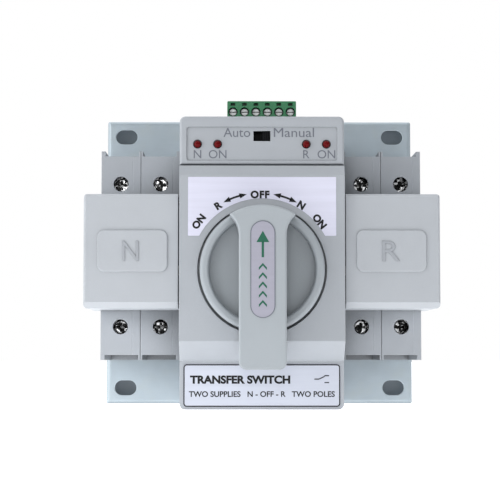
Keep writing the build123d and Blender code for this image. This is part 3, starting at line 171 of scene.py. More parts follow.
# Light and floor, in metres and watts
SKY_COLOUR = (0.97, 0.985, 1.0, 1)
WHITE = (1, 1, 1, 1)
SKY_FRONT = 0.05
SKY_SIDE = 0.28
SKY_TOP_GAIN = 5.8
SKY_LEFT_GAIN = 1.25
SKY_RIGHT_GAIN = 0.55
FLOOR_RADIUS = 6.0
FLOOR_SEGMENTS = 96
FLOOR_GLOW = 1.5
FLOOR_GLOW_FAR = 0.1
FLOOR_GLOW_REACH = 0.25
LIGHT_TARGET = (0, -0.05, 0)
KEY_PLACE = (-0.85, -0.5, 0.12)
KEY_SIZE = 0.6
KEY_POWER = 2.9
GLINT_PLACE = (-0.06, -0.77, 0.13)
GLINT_SIZE = 0.16
GLINT_POWER = 0.5

# Card of painted shade in the tray's hollow, in millimetres in from the tray's sides and up from its back
CARD_INSET = 1.6
CARD_LIFT = 1.0


# ---------------------------------------------------------------- places


def front_box(node):
    """x, y and z ranges of a CAD node in the front view."""
    low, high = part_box(node)
    x_range = (low.x / MM, high.x / MM)
    y_range = (low.z / MM, high.z / MM)
    z_range = (-high.y / MM, -low.y / MM)
    return x_range, y_range, z_range


def middle(pair):
    return (pair[0] + pair[1]) / 2


def joint_named(name):
    return next(joint for joint in frame["joints"] if joint["name"] == name)


dial_axis = joint_named("handle_turn")["pos_m"]
DIAL_X = dial_axis[0] / MM
DIAL_Y = dial_axis[2] / MM


# ---------------------------------------------------------------- node materials


class Shader:
    """A material and short ways to add nodes to it. Coordinates are the object's own, in millimetres."""

    def __init__(self, name):
        self.material = bpy.data.materials.new(name)
        self.material.use_nodes = True
        self.tree = self.material.node_tree
        self.surface = self.tree.nodes["Principled BSDF"]
        place = self.add("ShaderNodeTexCoord")
        scaled = self.add("ShaderNodeVectorMath", operation="SCALE")
        scaled.inputs["Scale"].default_value = 1 / MM
        self.join(place.outputs["Object"], scaled.inputs[0])
        self.place = scaled.outputs[0]

    def add(self, kind, **settings):
        node = self.tree.nodes.new(kind)
        for key, value in settings.items():
            setattr(node, key, value)
        return node

    def join(self, source, target):
        self.tree.links.new(source, target)

    def stretched(self, factors):
        """Coordinates stretched by a factor along each axis."""
        node = self.add("ShaderNodeVectorMath", operation="MULTIPLY")
        node.inputs[1].default_value = factors
        self.join(self.place, node.inputs[0])
        return node.outputs[0]

    def noise(self, scale, detail=3.0, roughness=0.55, place=None):
        node = self.add("ShaderNodeTexNoise")
        node.inputs["Scale"].default_value = scale
        node.inputs["Detail"].default_value = detail
        node.inputs["Roughness"].default_value = roughness
        self.join(place or self.place, node.inputs["Vector"])
        return node.outputs["Fac"]

    def ranged(self, value, low, high, to_low, to_high):
        """Value mapped from one range to another, and held at its ends."""
        node = self.add("ShaderNodeMapRange", clamp=True)
        for index, number in enumerate((low, high, to_low, to_high)):
            node.inputs[index + 1].default_value = number
        self.join(value, node.inputs[0])
        return node.outputs[0]

    def math(self, operation, first, second=None):
        node = self.add("ShaderNodeMath", operation=operation)
        self.join(first, node.inputs[0])
        if isinstance(second, (int, float)):
            node.inputs[1].default_value = second
        elif second is not None:
            self.join(second, node.inputs[1])
        return node.outputs[0]

    def mixed(self, factor, first, second):
        """Colour mix. Each colour is a socket or an (r, g, b)."""
        node = self.add("ShaderNodeMix", data_type="RGBA")
        self.join(factor, node.inputs["Factor"])
        sockets = [s for s in node.inputs if s.type == "RGBA"]
        for socket, colour in zip(sockets, (first, second)):
            if isinstance(colour, tuple):
                socket.default_value = (*colour, 1.0)
            else:
                self.join(colour, socket)
        return [s for s in node.outputs if s.type == "RGBA"][0]

    def edges(self, radius):
        """Normal with rounded edges, and how far it leans from the flat one: 0 on flats, more at edges."""
        bevel = self.add("ShaderNodeBevel", samples=4)
        bevel.inputs["Radius"].default_value = radius * MM
        flat = self.add("ShaderNodeNewGeometry")
        dot = self.add("ShaderNodeVectorMath", operation="DOT_PRODUCT")
        self.join(bevel.outputs["Normal"], dot.inputs[0])
        self.join(flat.outputs["Normal"], dot.inputs[1])
        lean = self.math("SUBTRACT", dot.outputs["Value"], 1.0)
        return bevel.outputs["Normal"], self.math("ABSOLUTE", lean)

    def crevices(self, distance, samples=4):
        """1 in the open, falling in seams and corners."""
        node = self.add("ShaderNodeAmbientOcclusion", samples=samples)
        node.inputs["Distance"].default_value = distance * MM
        return node.outputs["AO"]

    def bump(self, heights, normal=None):
        """Chain of bumps, each (height socket, depth in millimetres, strength)."""
        for height, depth, strength in heights:
            node = self.add("ShaderNodeBump")
            node.inputs["Distance"].default_value = depth * MM
            node.inputs["Strength"].default_value = strength
            self.join(height, node.inputs["Height"])
            if normal is not None:
                self.join(normal, node.inputs["Normal"])
            normal = node.outputs["Normal"]
        self.join(normal, self.surface.inputs["Normal"])

    def colour(self, socket):
        self.join(socket, self.surface.inputs["Base Color"])

    def rough(self, socket):
        self.join(socket, self.surface.inputs["Roughness"])

    def set(self, **values):
        for key, value in values.items():
            self.surface.inputs[key.replace("_", " ")].default_value = value


def brighter(colour, factor):
    return tuple(min(1.0, channel * factor) for channel in colour)


def plastic(name, colour, roughness=0.42, grain=1.0, edge_highlight=0.7, shelter_shade=None, shine=0.45):
    """Moulded plastic: spark-eroded grain, faint flow mottling, painted highlights along the edges, painted
    shade in the seams.

    The shelter shade pair, if given, is how dark the painted shade is where tall neighbours stand over the
    surface, then how open a place has to be to stay unshaded.
    """
    shader = Shader(name)
    mottle = shader.noise(0.045, 4.0, 0.6)
    speckle = shader.noise(1.6, 2.0)
    clouded = shader.ranged(mottle, 0.3, 0.7, 0, 1)
    base = shader.mixed(clouded, brighter(colour, 0.965), brighter(colour, 1.03))
    base = shader.mixed(shader.ranged(speckle, 0.35, 0.75, 0, 0.35), base, brighter(colour, 0.93))
    normal, lean = shader.edges(0.45)
    # Lighter edges: painted highlights, patchy with the mottling.
    at_edge = shader.ranged(lean, 0.0, 0.12, 0, edge_highlight)
    painted_edge_highlight = shader.math("MULTIPLY", at_edge, shader.ranged(mottle, 0.3, 0.6, 0.6, 1.0))
    base = shader.mixed(painted_edge_highlight, base, brighter(colour, 1.5))
    # Darker seams and corners: painted shade.
    open_air = shader.ranged(shader.crevices(2.0), 0.1, 0.8, 0.0, 1.0)
    base = shader.mixed(open_air, brighter(colour, 0.3), base)
    # Painted shade where tall neighbours stand over the surface.
    if shelter_shade:
        shade_level, unshaded_from = shelter_shade
        clear = shader.ranged(shader.crevices(30.0, 12), unshaded_from - 0.3, unshaded_from, 0.0, 1.0)
        base = shader.mixed(clear, brighter(colour, shade_level), base)
    shader.colour(base)
    fine = shader.noise(4.5, 3.0, 0.7)
    coarse = shader.noise(1.3, 2.0, 0.5)
    shader.rough(shader.ranged(fine, 0.25, 0.75, roughness - 0.07, roughness + 0.1))
    shader.bump([(coarse, 0.03, 0.25 * grain), (fine, 0.015, 0.5 * grain)], normal)
    shader.set(Specular_IOR_Level=shine)
    return shader.material


def plated_sheet(name, colour, roughness, metallic):
    """Plated sheet metal: rolling lines, straw-tinted patches, small scratches, painted highlights that
    brighten its edges, painted shade in its seams.
    """
    shader = Shader(name)
    cloud = shader.noise(0.05, 5.0, 0.6)
    clouded = shader.ranged(cloud, 0.3, 0.7, 0, 1)
    base = shader.mixed(clouded, brighter(colour, 0.93), brighter(colour, 1.05))
    tint = shader.noise(0.12, 2.0)
    straw = (colour[0] * 1.02, colour[1] * 0.99, colour[2] * 0.93)
    base = shader.mixed(shader.ranged(tint, 0.5, 0.75, 0, 0.5), base, straw)
    rolling = shader.noise(1.0, 3.0, 0.6, shader.stretched((0.06, 0.06, 3.5)))
    scratches = shader.noise(1.0, 2.0, 0.5, shader.stretched((0.15, 0.15, 14.0)))
    # Lighter edges: painted highlights.
    normal, lean = shader.edges(0.5)
    base = shader.mixed(shader.ranged(lean, 0.0, 0.15, 0, 0.5), base, brighter(colour, 1.35))
    # Darker in seams and corners: painted shade.
    open_air = shader.ranged(shader.crevices(2.5), 0.3, 0.95, 0.0, 1.0)
    shader.colour(shader.mixed(open_air, brighter(colour, 0.6), base))
    shader.rough(shader.math("ADD", shader.ranged(rolling, 0.3, 0.7, -0.06, 0.08), roughness))
    shader.bump([(rolling, 0.02, 0.2), (scratches, 0.01, 0.25)], normal)
    shader.set(Metallic=metallic)
    return shader.material


def turned_metal(name, colour, roughness, metallic=1.0):
    """Plated or ground small part: fine tool marks, painted shade in its hollows, painted highlights that
    brighten its edges.
    """
    shader = Shader(name)
    marks = shader.noise(6.0, 3.0, 0.6)
    tarnish = shader.noise(0.7, 4.0, 0.6)
    base = shader.mixed(shader.ranged(tarnish, 0.35, 0.7, 0, 1), colour, brighter(colour, 0.78))
    # Lighter edges: painted highlights.
    normal, lean = shader.edges(0.12)
    base = shader.mixed(shader.ranged(lean, 0.0, 0.2, 0, 0.6), base, brighter(colour, 1.3))
    # Near black in hollows: painted shade.
    open_air = shader.ranged(shader.crevices(2.0), 0.25, 0.85, 0.0, 1.0)
    shader.colour(shader.mixed(open_air, brighter(colour, 0.12), base))
    shader.rough(shader.ranged(marks, 0.3, 0.7, roughness - 0.06, roughness + 0.14))
    shader.bump([(marks, 0.01, 0.35)], normal)
    shader.set(Metallic=metallic)
    return shader.material


def sunk_screw(name, colour):
    """Nickel-plated screw down a hole: dented by the driver, with near-black patches of painted dark
    reflection, painted highlights on its edges, and painted shade, near black, where little light reaches.
    """
    shader = Shader(name)
    dents = shader.noise(0.55, 1.0, 0.4)
    marks = shader.noise(1.6, 2.0, 0.5)
    # Near-black patches: painted dark reflections.
    painted_dark_reflections = shader.ranged(dents, 0.5, 0.56, 0, 1)
    base = shader.mixed(painted_dark_reflections, brighter(colour, 0.02), brighter(colour, 1.2))
    normal, lean = shader.edges(0.25)
    # Near black where little light reaches: painted shade.
    open_air = shader.ranged(shader.crevices(4.0), 0.4, 0.72, 0.0, 1.0)
    base = shader.mixed(open_air, brighter(colour, 0.01), base)
    # Lighter edges: painted highlights.
    shader.colour(shader.mixed(shader.ranged(lean, 0.02, 0.2, 0, 0.6), base, brighter(colour, 1.25)))
    shader.rough(shader.ranged(marks, 0.3, 0.7, 0.22, 0.4))
    shader.bump([(dents, 0.25, 0.7), (marks, 0.05, 0.5)], normal)
    shader.set(Metallic=1.0)
    return shader.material


def film(name, colour):
    """Printed label film: slight waviness, faint print banding, small scuffs."""
    shader = Shader(name)
    wave = shader.noise(0.09, 2.0)
    band = shader.noise(1.0, 2.0, 0.5, shader.stretched((0.02, 0.5, 0.5)))
    banded = shader.ranged(band, 0.35, 0.7, 0, 1)
    base = shader.mixed(banded, brighter(colour, 0.97), brighter(colour, 1.02))
    scuff = shader.noise(1.1, 5.0, 0.75)
    base = shader.mixed(shader.ranged(scuff, 0.62, 0.8, 0, 0.3), base, brighter(colour, 0.88))
    # Darker at the label's edges and in its seams: painted shade.
    open_air = shader.ranged(shader.crevices(0.8), 0.3, 0.95, 0.0, 1.0)
    shader.colour(shader.mixed(open_air, brighter(colour, 0.85), base))
    shader.rough(shader.ranged(scuff, 0.3, 0.8, 0.5, 0.7))
    shader.bump([(wave, 0.15, 0.25), (scuff, 0.005, 0.3)])
    return shader.material


def ink(name, colour, roughness=0.5):
    """Screen-printed ink: small thickness ripple and slightly uneven density."""
    shader = Shader(name)
    density = shader.noise(2.5, 3.0)
    shader.colour(shader.mixed(shader.ranged(density, 0.3, 0.7, 0, 1), colour, brighter(colour, 1.35)))
    shader.rough(shader.ranged(density, 0.3, 0.7, roughness - 0.08, roughness + 0.1))
    shader.bump([(density, 0.005, 0.4)])
    return shader.material


def lamp_plastic(name, colour):
    """Dark tinted lens: faint swirl in its colour, smooth skin with little shine."""
    shader = Shader(name)
    swirl = shader.noise(1.8, 3.0)
    shader.colour(shader.mixed(shader.ranged(swirl, 0.3, 0.7, 0, 1), brighter(colour, 0.7), colour))
    shader.rough(shader.ranged(swirl, 0.3, 0.7, 0.12, 0.24))
    shader.bump([(swirl, 0.01, 0.2)])
    shader.set(Specular_IOR_Level=0.15)
    return shader.material


def board(name, colour):
    """Circuit board: solder mask over faint copper tracks."""
    shader = Shader(name)
    tracks = shader.add("ShaderNodeTexBrick")
    tracks.inputs["Scale"].default_value = 0.35
    shader.join(shader.place, tracks.inputs["Vector"])
    weave = shader.noise(2.2, 2.0)
    base = shader.mixed(tracks.outputs["Fac"], colour, brighter(colour, 1.5))
    shader.colour(shader.mixed(shader.ranged(weave, 0.4, 0.7, 0, 0.4), base, brighter(colour, 0.8)))
    shader.rough(shader.ranged(weave, 0.3, 0.7, 0.3, 0.45))
    shader.bump([(tracks.outputs["Fac"], 0.03, 0.4), (weave, 0.01, 0.3)])
    return shader.material


materials = {
    "zinc_sheet": plated_sheet("zinc_sheet_look", (0.47, 0.54, 0.59), 0.5, 0.6),
    "zinc_steel": turned_metal("zinc_steel_look", (0.62, 0.64, 0.66), 0.3),
    "terminal_steel": sunk_screw("terminal_steel_look", (0.80, 0.81, 0.82)),
    "bright_steel": turned_metal("bright_steel_look", (0.68, 0.69, 0.70), 0.18),
    "bearing_bronze": turned_metal("bearing_bronze_look", (0.62, 0.43, 0.20), 0.3),
    "copper": turned_metal("copper_look", (0.72, 0.36, 0.22), 0.28),
    "motor_can": plated_sheet("motor_can_look", (0.50, 0.51, 0.52), 0.32, 0.95),
    "gear_plastic": plastic("gear_plastic_look", (0.70, 0.68, 0.62), 0.4),
    "housing_grey": plastic("housing_grey_look", (0.43, 0.455, 0.49)),
    "handle_grey": plastic("handle_grey_look", (0.40, 0.435, 0.465), shelter_shade=(0.72, 0.85)),
    "cover_grey": plastic("cover_grey_look", (0.49, 0.515, 0.55)),
    "breaker_grey": plastic("breaker_grey_look", (0.44, 0.465, 0.50), shelter_shade=(0.42, 0.6)),
    "black_plastic": plastic("black_plastic_look", (0.007, 0.007, 0.009), 0.5, shine=0.12),
    "board_green": board("board_green_look", (0.02, 0.12, 0.05)),
    "terminal_green": plastic("terminal_green_look", (0.025, 0.185, 0.075), 0.38, 0.7, 0.3),
    "lamp_red": lamp_plastic("lamp_red_look", (0.15, 0.0005, 0.002)),
    "label_film": film("label_film_look", (0.76, 0.76, 0.90)),
}
# Letters a little darker than the cover they stand on: painted shade for the shading round the raised
# letters.
letter_look = plastic("letter_look", (0.39, 0.41, 0.445), 0.35, 0.6)
# Nodes that look different from the rest of their material slot
own_looks = {
    "handle_sticker": film("sticker_film_look", (0.39, 0.385, 0.46)),
    "rating_label": film("rating_film_look", (0.60, 0.63, 0.72)),
    # Near-white base colour with little metal: a painted sheen for the screws' bright reflections.
    "plug_screws": turned_metal("plug_screw_painted_sheen_look", (0.95, 0.955, 0.96), 0.4, 0.2),
}
black_ink = ink("black_ink_look", (0.004, 0.004, 0.005), 0.7)
grey_ink = ink("grey_ink_look", (0.13, 0.14, 0.17))
green_ink = ink("green_ink_look", (0.004, 0.10, 0.055))

for subpart in record["subparts"]:
    name = subpart["node"]
    looks = nodes_by_name[name].data.materials
    looks.clear()
    looks.append(own_looks.get(name, materials[subpart["material_slot"]]))


# ---------------------------------------------------------------- marks


def prism(mesh, outline, z0, z1):
    """Flat outline of (x, y) points, given thickness."""
    low = [mesh.verts.new((x, y, z0)) for x, y in outline]
    high = [mesh.verts.new((x, y, z1)) for x, y in outline]
    mesh.faces.new(list(reversed(low)))
    mesh.faces.new(high)
    count = len(outline)
    for index in range(count):
        after = (index + 1) % count
        mesh.faces.new((low[index], low[after], high[after], high[index]))


def band(mesh, outer, inner, z0, z1):
    """Closed strip between two outlines with the same number of points."""
    rings = [[mesh.verts.new((x, y, z)) for x, y in line] for line in (outer, inner) for z in (z0, z1)]
    outer_low, outer_high, inner_low, inner_high = rings
    count = len(outer)
    for index in range(count):
        after = (index + 1) % count
        mesh.faces.new((outer_high[index], outer_high[after], inner_high[after], inner_high[index]))
        mesh.faces.new((outer_low[after], outer_low[index], inner_low[index], inner_low[after]))
        mesh.faces.new((outer_low[index], outer_low[after], outer_high[after], outer_high[index]))
        mesh.faces.new((inner_low[after], inner_low[index], inner_high[index], inner_high[after]))


def rounded_outline(x0, x1, y0, y1, radius, steps=CORNER_STEPS):
    """Rectangle with rounded corners, anticlockwise from its right side."""
    points = []
    corners = ((x1, y1, 0), (x0, y1, 90), (x0, y0, 180), (x1, y0, 270))
    for x, y, start in corners:
        centre_x = x - radius if x == x1 else x + radius
        centre_y = y - radius if y == y1 else y + radius
        for step in range(steps + 1):
            angle = math.radians(start + 90 * step / steps)
            points.append((centre_x + radius * math.cos(angle), centre_y + radius * math.sin(angle)))
    return points


def write(
    mesh, text, x, y, z, cap_height, turn=0.0, weight=0.0, depth=PRINT_THICKNESS, width=1.0, spacing=1.0
):
    """Text centred on (x, y), turned clockwise by turn degrees, with its base at z."""
    curve = bpy.data.curves.new("letters", "FONT")
    curve.body = text
    curve.align_x = "CENTER"
    # Extruded by half a unit each way, so that the scaling below makes it exactly depth thick
    curve.extrude = 0.5
    curve.offset = weight
    curve.space_character = spacing
    curve.resolution_u = 6
    holder = bpy.data.objects.new("letters", curve)
    scene.collection.objects.link(holder)
    graph = bpy.context.evaluated_depsgraph_get()
    flat = bpy.data.meshes.new_from_object(holder.evaluated_get(graph))
    bpy.data.objects.remove(holder)
    bpy.data.curves.remove(curve)
    xs = [vertex.co.x for vertex in flat.vertices]
    scale = cap_height / CAP_SHARE
    centre = (min(xs) + max(xs)) / 2
    move = (
        Matrix.Translation((x, y, z + depth / 2))
        @ Matrix.Rotation(math.radians(-turn), 4, "Z")
        @ Matrix.Diagonal((scale * width, scale, depth, 1.0))
        @ Matrix.Translation((-centre, -CAP_SHARE / 2, 0))
    )
    flat.transform(move)
    mesh.from_mesh(flat)
    bpy.data.meshes.remove(flat)


def piece(name, mesh, material, body):
    """Turn a front-view mesh into a named piece that rides on a CAD body."""
    bmesh.ops.recalc_face_normals(mesh, faces=mesh.faces)
    data = bpy.data.meshes.new(name)
    mesh.to_mesh(data)
    mesh.free()
    data.transform(TO_ROW)
    data.materials.append(material)
    thing = bpy.data.objects.new(name, data)
    scene.collection.objects.link(thing)
    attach(thing, body)


def polar(radius, angle, x, y):
    """Point at an angle clockwise from straight up."""
    return x + radius * math.sin(math.radians(angle)), y + radius * math.cos(math.radians(angle))


def arc_arrow(mesh, x, y, radius, start, end, z):
    """Curved arrow with a head at each end."""
    low, high = start + ARROW_HEAD * ARROW_LINE_STOP, end - ARROW_HEAD * ARROW_LINE_STOP
    angles = [low + (high - low) * step / ARROW_STEPS for step in range(ARROW_STEPS + 1)]
    outline = [polar(radius + ARROW_LINE_HALF, angle, x, y) for angle in angles]
    outline += [polar(radius - ARROW_LINE_HALF, angle, x, y) for angle in reversed(angles)]
    prism(mesh, outline, z, z + PRINT_THICKNESS)
    for tip, back in ((start, start + ARROW_HEAD), (end, end - ARROW_HEAD)):
        triangle = [
            polar(radius, tip, x, y),
            polar(radius + ARROW_HEAD_HALF, back, x, y),
            polar(radius - ARROW_HEAD_HALF, back, x, y),
        ]
        prism(mesh, triangle, z, z + PRINT_THICKNESS)


def dial_print():
    """Handle positions round the dial, with a curved arrow on each side of OFF."""
    z = front_box("dial_label")[2][1] + PRINT_GAP
    mesh = bmesh.new()
    x, y = DIAL_X + DIAL_PRINT_X, DIAL_Y
    for text, angle, out, spacing in DIAL_LEGENDS:
        at_x, at_y = polar(DIAL_PRINT_RADIUS + out, angle, x, y)
        write(mesh, text, at_x, at_y, z, DIAL_CAP_HEIGHT, angle, DIAL_WEIGHT, spacing=spacing)
    arc_arrow(mesh, x, y, DIAL_PRINT_RADIUS, -ARROW_FAR, -ARROW_NEAR, z)
    arc_arrow(mesh, x, y, DIAL_PRINT_RADIUS, ARROW_NEAR, ARROW_FAR, z)
    piece("dial_print", mesh, black_ink, "switch_frame")


def header_print_z():
    """Level of the print in the header's recess."""
    return front_box("header_cover")[2][1] - HEADER_RECESS + PRINT_GAP


def header_print():
    """Legends of the slide switch and the lamps."""
    z = header_print_z()
    mesh = bmesh.new()
    for text, x, width in SWITCH_LEGENDS:
        write(mesh, text, x, SWITCH_LEGEND_Y, z, SWITCH_LEGEND_CAP, width=width)
    for text, x in zip(LAMP_LEGENDS, LAMP_XS):
        write(mesh, text, x, LAMP_LEGEND_Y, z, LAMP_LEGEND_CAP)
    piece("header_print", mesh, grey_ink, "switch_frame")


def raised_letter(name, node, text, shift, width):
    """Supply letter standing on the cover's raised panel."""
    x_range, y_range, z_range = front_box(node)
    x, y, z = middle(x_range) + shift, middle(y_range), z_range[1] - LETTER_ROOT
    mesh = bmesh.new()
    write(mesh, text, x, y, z, LETTER_CAP, depth=LETTER_RAISE + LETTER_ROOT, width=width)
    piece(name, mesh, letter_look, "switch_frame")


def inset_outline(x_range, y_range, inset, radius, steps=CORNER_STEPS):
    """Rounded outline inside a label's edge."""
    x0, x1 = x_range[0] + inset, x_range[1] - inset
    y0, y1 = y_range[0] + inset, y_range[1] - inset
    return rounded_outline(x0, x1, y0, y1, radius, steps)


def sticker_outline():
    """Line round the grip's label."""
    x_range, y_range, z_range = front_box("handle_sticker")
    z = z_range[1] + PRINT_GAP
    inner_radius = GRIP_LABEL_CORNER - GRIP_LABEL_LINE
    outer = inset_outline(x_range, y_range, 0, GRIP_LABEL_CORNER, LABEL_CORNER_STEPS)
    inner = inset_outline(x_range, y_range, GRIP_LABEL_LINE, inner_radius, LABEL_CORNER_STEPS)
    mesh = bmesh.new()
    band(mesh, outer, inner, z, z + PRINT_THICKNESS)
    piece("sticker_outline", mesh, grey_ink, "handle_shaft")


def sticker_marks():
    """Arrow towards the chosen position, with chevrons below it, on the grip's label."""
    x_range, y_range, z_range = front_box("handle_sticker")
    x = middle(x_range)
    tip = y_range[1] - GRIP_TIP
    neck = tip - GRIP_HEAD_LENGTH
    line_top, line_end = (tip - below for below in GRIP_LINE_ENDS)
    outlines = [
        [(x, tip), (x - GRIP_HEAD_HALF, neck), (x + GRIP_HEAD_HALF, neck)],
        [
            (x - GRIP_LINE_HALF, line_top),
            (x + GRIP_LINE_HALF, line_top),
            (x + GRIP_LINE_HALF, line_end),
            (x - GRIP_LINE_HALF, line_end),
        ],
    ]
    for index in range(CHEVRON_COUNT):
        level = tip - CHEVRON_START - CHEVRON_PITCH * index
        shoulder = level - CHEVRON_DROP
        foot = shoulder - CHEVRON_THICKNESS
        chevron = [
            (x, level),
            (x + CHEVRON_HALF, shoulder),
            (x + CHEVRON_HALF, foot),
            (x, level - CHEVRON_THICKNESS),
            (x - CHEVRON_HALF, foot),
            (x - CHEVRON_HALF, shoulder),
        ]
        outlines.append(chevron)
    z = z_range[1] + PRINT_GAP
    mesh = bmesh.new()
    for outline in outlines:
        prism(mesh, outline, z, z + PRINT_THICKNESS)
    piece("sticker_marks", mesh, green_ink, "handle_shaft")


def rating_print():
    """Line round the plate, generic wording and a changeover symbol."""
    x_range, y_range, z_range = front_box("rating_label")
    z = z_range[1] + PRINT_GAP
    top = z + PRINT_THICKNESS
    mesh = bmesh.new()
    outer, inner = (inset_outline(x_range, y_range, inset, radius) for inset, radius in RATING_LINE)
    band(mesh, outer, inner, z, top)
    for text, aside, below, cap_height, weight, width in RATING_WORDS:
        x, y = middle(x_range) + aside, y_range[1] - below
        write(mesh, text, x, y, z, cap_height, weight=weight, width=width)
    symbol_x, symbol_y = x_range[1] - SYMBOL_PLACE[0], y_range[1] - SYMBOL_PLACE[1]
    for ends in SYMBOL_STROKES:
        first, last = (Vector((symbol_x + x, symbol_y + y)) for x, y in ends)
        across = (last - first).normalized().orthogonal() * SYMBOL_LINE_HALF
        corners = (first + across, first - across, last - across, last + across)
        prism(mesh, [tuple(corner) for corner in corners], z, top)
    piece("rating_print", mesh, black_ink, "switch_frame")


def lamp_rims():
    """Dark ring printed round each lamp."""
    z = header_print_z()
    mesh = bmesh.new()
    for x in LAMP_XS:
        outer, inner = (
            [polar(radius, 360 * step / LAMP_RIM_STEPS, x, LAMP_Y) for step in range(LAMP_RIM_STEPS)]
            for radius in LAMP_RIM_RADII
        )
        band(mesh, outer, inner, z, z + PRINT_THICKNESS)
    piece("lamp_rims", mesh, black_ink, "switch_frame")


dial_print()
header_print()
raised_letter("normal_letter", "normal_cover", "N", shift=-1.3, width=0.86)
raised_letter("reserve_letter", "reserve_cover", "R", shift=0.2, width=1.13)
sticker_outline()
sticker_marks()
rating_print()
lamp_rims()


# ---------------------------------------------------------------- stage


def floor():
    """Large pale floor under the tray. It glows near the object, and shows white to the camera."""
    mesh = bmesh.new()
    bmesh.ops.create_circle(mesh, cap_ends=True, segments=FLOOR_SEGMENTS, radius=FLOOR_RADIUS)
    data = bpy.data.meshes.new("floor")
    mesh.to_mesh(data)
    mesh.free()
    thing = bpy.data.objects.new("floor", data)
    thing.location = (0, 0, cad_low.z)
    scene.collection.objects.link(thing)
    shader = Shader("floor_look")
    cloud = shader.noise(0.01, 3.0)
    shader.colour(shader.mixed(cloud, (0.90, 0.90, 0.90), (0.94, 0.94, 0.94)))
    shader.rough(shader.ranged(cloud, 0, 1, 0.6, 0.8))
    distance = shader.add("ShaderNodeVectorMath", operation="LENGTH")
    shader.join(shader.place, distance.inputs[0])
    reach = FLOOR_GLOW_REACH / MM
    near = shader.ranged(distance.outputs["Value"], 0, reach, FLOOR_GLOW, FLOOR_GLOW_FAR)
    seen = shader.add("ShaderNodeLightPath").outputs["Is Camera Ray"]
    shader.join(shader.math("MAXIMUM", near, seen), shader.surface.inputs["Emission Strength"])
    shader.set(Emission_Color=WHITE)
    data.materials.append(shader.material)


def painted_shade_card():
    """Dark card of painted shade in the tray's hollow, seen from the front through the slots. It casts no
    shadow.
    """
    x_range, y_range, z_range = front_box("base_tray")
    x0, x1 = x_range[0] + CARD_INSET, x_range[1] - CARD_INSET
    y0, y1 = y_range[0] + CARD_INSET, y_range[1] - CARD_INSET
    z = z_range[0] + CARD_LIFT
    mesh = bmesh.new()
    corners = [(x0, y0), (x1, y0), (x1, y1), (x0, y1)]
    mesh.faces.new([mesh.verts.new((x, y, z)) for x, y in corners])
    data = bpy.data.meshes.new("painted_shade_card")
    mesh.to_mesh(data)
    mesh.free()
    data.transform(TO_ROW)
    thing = bpy.data.objects.new("painted_shade_card", data)
    scene.collection.objects.link(thing)
    shader = Shader("painted_shade_card_look")
    # Its dark grey is painted shade, seen only by the camera from the front.
    shader.set(Base_Color=(0.19, 0.205, 0.22, 1), Roughness=0.9)
    clear = shader.add("ShaderNodeBsdfTransparent")
    seen = shader.add("ShaderNodeLightPath").outputs["Is Camera Ray"]
    behind = shader.add("ShaderNodeNewGeometry").outputs["Backfacing"]
    choose = shader.add("ShaderNodeMixShader")
    shader.join(shader.math("GREATER_THAN", seen, behind), choose.inputs[0])
    shader.join(clear.outputs[0], choose.inputs[1])
    shader.join(shader.surface.outputs[0], choose.inputs[2])
    end = shader.tree.nodes["Material Output"]
    shader.join(choose.outputs[0], end.inputs["Surface"])
    data.materials.append(shader.material)


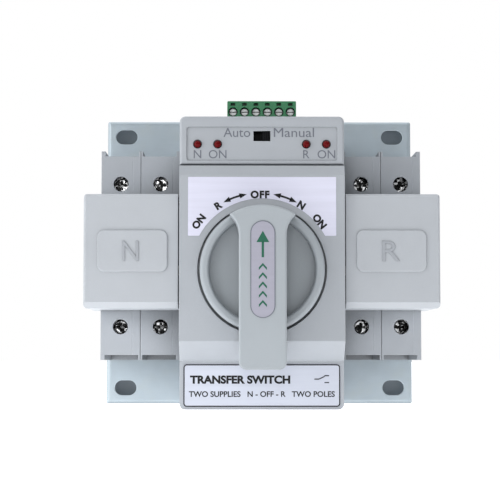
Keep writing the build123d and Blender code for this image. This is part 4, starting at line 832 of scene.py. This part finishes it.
def world():
    """White to the camera. As light, a soft sky: darkest on the camera's side, brightest above and left."""
    sky = bpy.data.worlds.new("studio")
    sky.use_nodes = True
    scene.world = sky
    tree = sky.node_tree
    tree.nodes.clear()
    out = tree.nodes.new("ShaderNodeOutputWorld")
    seen = tree.nodes.new("ShaderNodeBackground")
    light = tree.nodes.new("ShaderNodeBackground")
    choose = tree.nodes.new("ShaderNodeMixShader")
    path = tree.nodes.new("ShaderNodeLightPath")
    place = tree.nodes.new("ShaderNodeTexCoord")
    split = tree.nodes.new("ShaderNodeSeparateXYZ")
    seen.inputs["Color"].default_value = WHITE
    seen.inputs["Strength"].default_value = 1.0
    light.inputs["Color"].default_value = SKY_COLOUR
    tree.links.new(place.outputs["Generated"], split.inputs[0])
    # Axis, the two directions between which the strength changes, and the strength at each
    ramps = (
        ("Y", -1.0, 0.0, SKY_FRONT, SKY_SIDE),
        ("Z", 0.0, 0.7, 1.0, SKY_TOP_GAIN),
        ("X", -0.8, 0.8, SKY_LEFT_GAIN, SKY_RIGHT_GAIN),
    )
    strength = None
    for axis, *numbers in ramps:
        ramp = tree.nodes.new("ShaderNodeMapRange")
        for index, number in enumerate(numbers):
            ramp.inputs[index + 1].default_value = number
        tree.links.new(split.outputs[axis], ramp.inputs[0])
        if strength is None:
            strength = ramp.outputs[0]
            continue
        product = tree.nodes.new("ShaderNodeMath")
        product.operation = "MULTIPLY"
        tree.links.new(strength, product.inputs[0])
        tree.links.new(ramp.outputs[0], product.inputs[1])
        strength = product.outputs[0]
    tree.links.new(strength, light.inputs["Strength"])
    tree.links.new(path.outputs["Is Camera Ray"], choose.inputs[0])
    tree.links.new(light.outputs[0], choose.inputs[1])
    tree.links.new(seen.outputs[0], choose.inputs[2])
    tree.links.new(choose.outputs[0], out.inputs["Surface"])


def soft_light(name, place, size, power):
    """Square area light that points at the object."""
    data = bpy.data.lights.new(name, "AREA")
    data.shape = "RECTANGLE"
    data.size = data.size_y = size
    data.energy = power
    thing = bpy.data.objects.new(name, data)
    thing.location = place
    thing.rotation_euler = (Vector(LIGHT_TARGET) - Vector(place)).to_track_quat("-Z", "Y").to_euler()
    scene.collection.objects.link(thing)


def camera():
    """The camera: pitch is upwards from level, and yaw clockwise from +Y seen from above."""
    pitch, yaw = math.radians(CAMERA_PITCH), math.radians(CAMERA_YAW)
    forward = Vector((math.cos(pitch) * math.sin(yaw), math.cos(pitch) * math.cos(yaw), math.sin(pitch)))
    right = Vector((math.cos(yaw), -math.sin(yaw), 0))
    up = right.cross(forward)
    data = bpy.data.cameras.new("camera")
    data.lens = CAMERA_LENS
    data.sensor_width = SENSOR
    data.clip_start = CLIP_START
    thing = bpy.data.objects.new("camera", data)
    turn = Matrix((right, up, -forward)).transposed().to_4x4()
    thing.matrix_world = Matrix.Translation(CAMERA_PLACE) @ turn
    scene.collection.objects.link(thing)
    scene.camera = thing


floor()
painted_shade_card()
world()
soft_light("left_key", KEY_PLACE, KEY_SIZE, KEY_POWER)
soft_light("camera_glint", GLINT_PLACE, GLINT_SIZE, GLINT_POWER)
camera()
scene.view_settings.view_transform = "Standard"
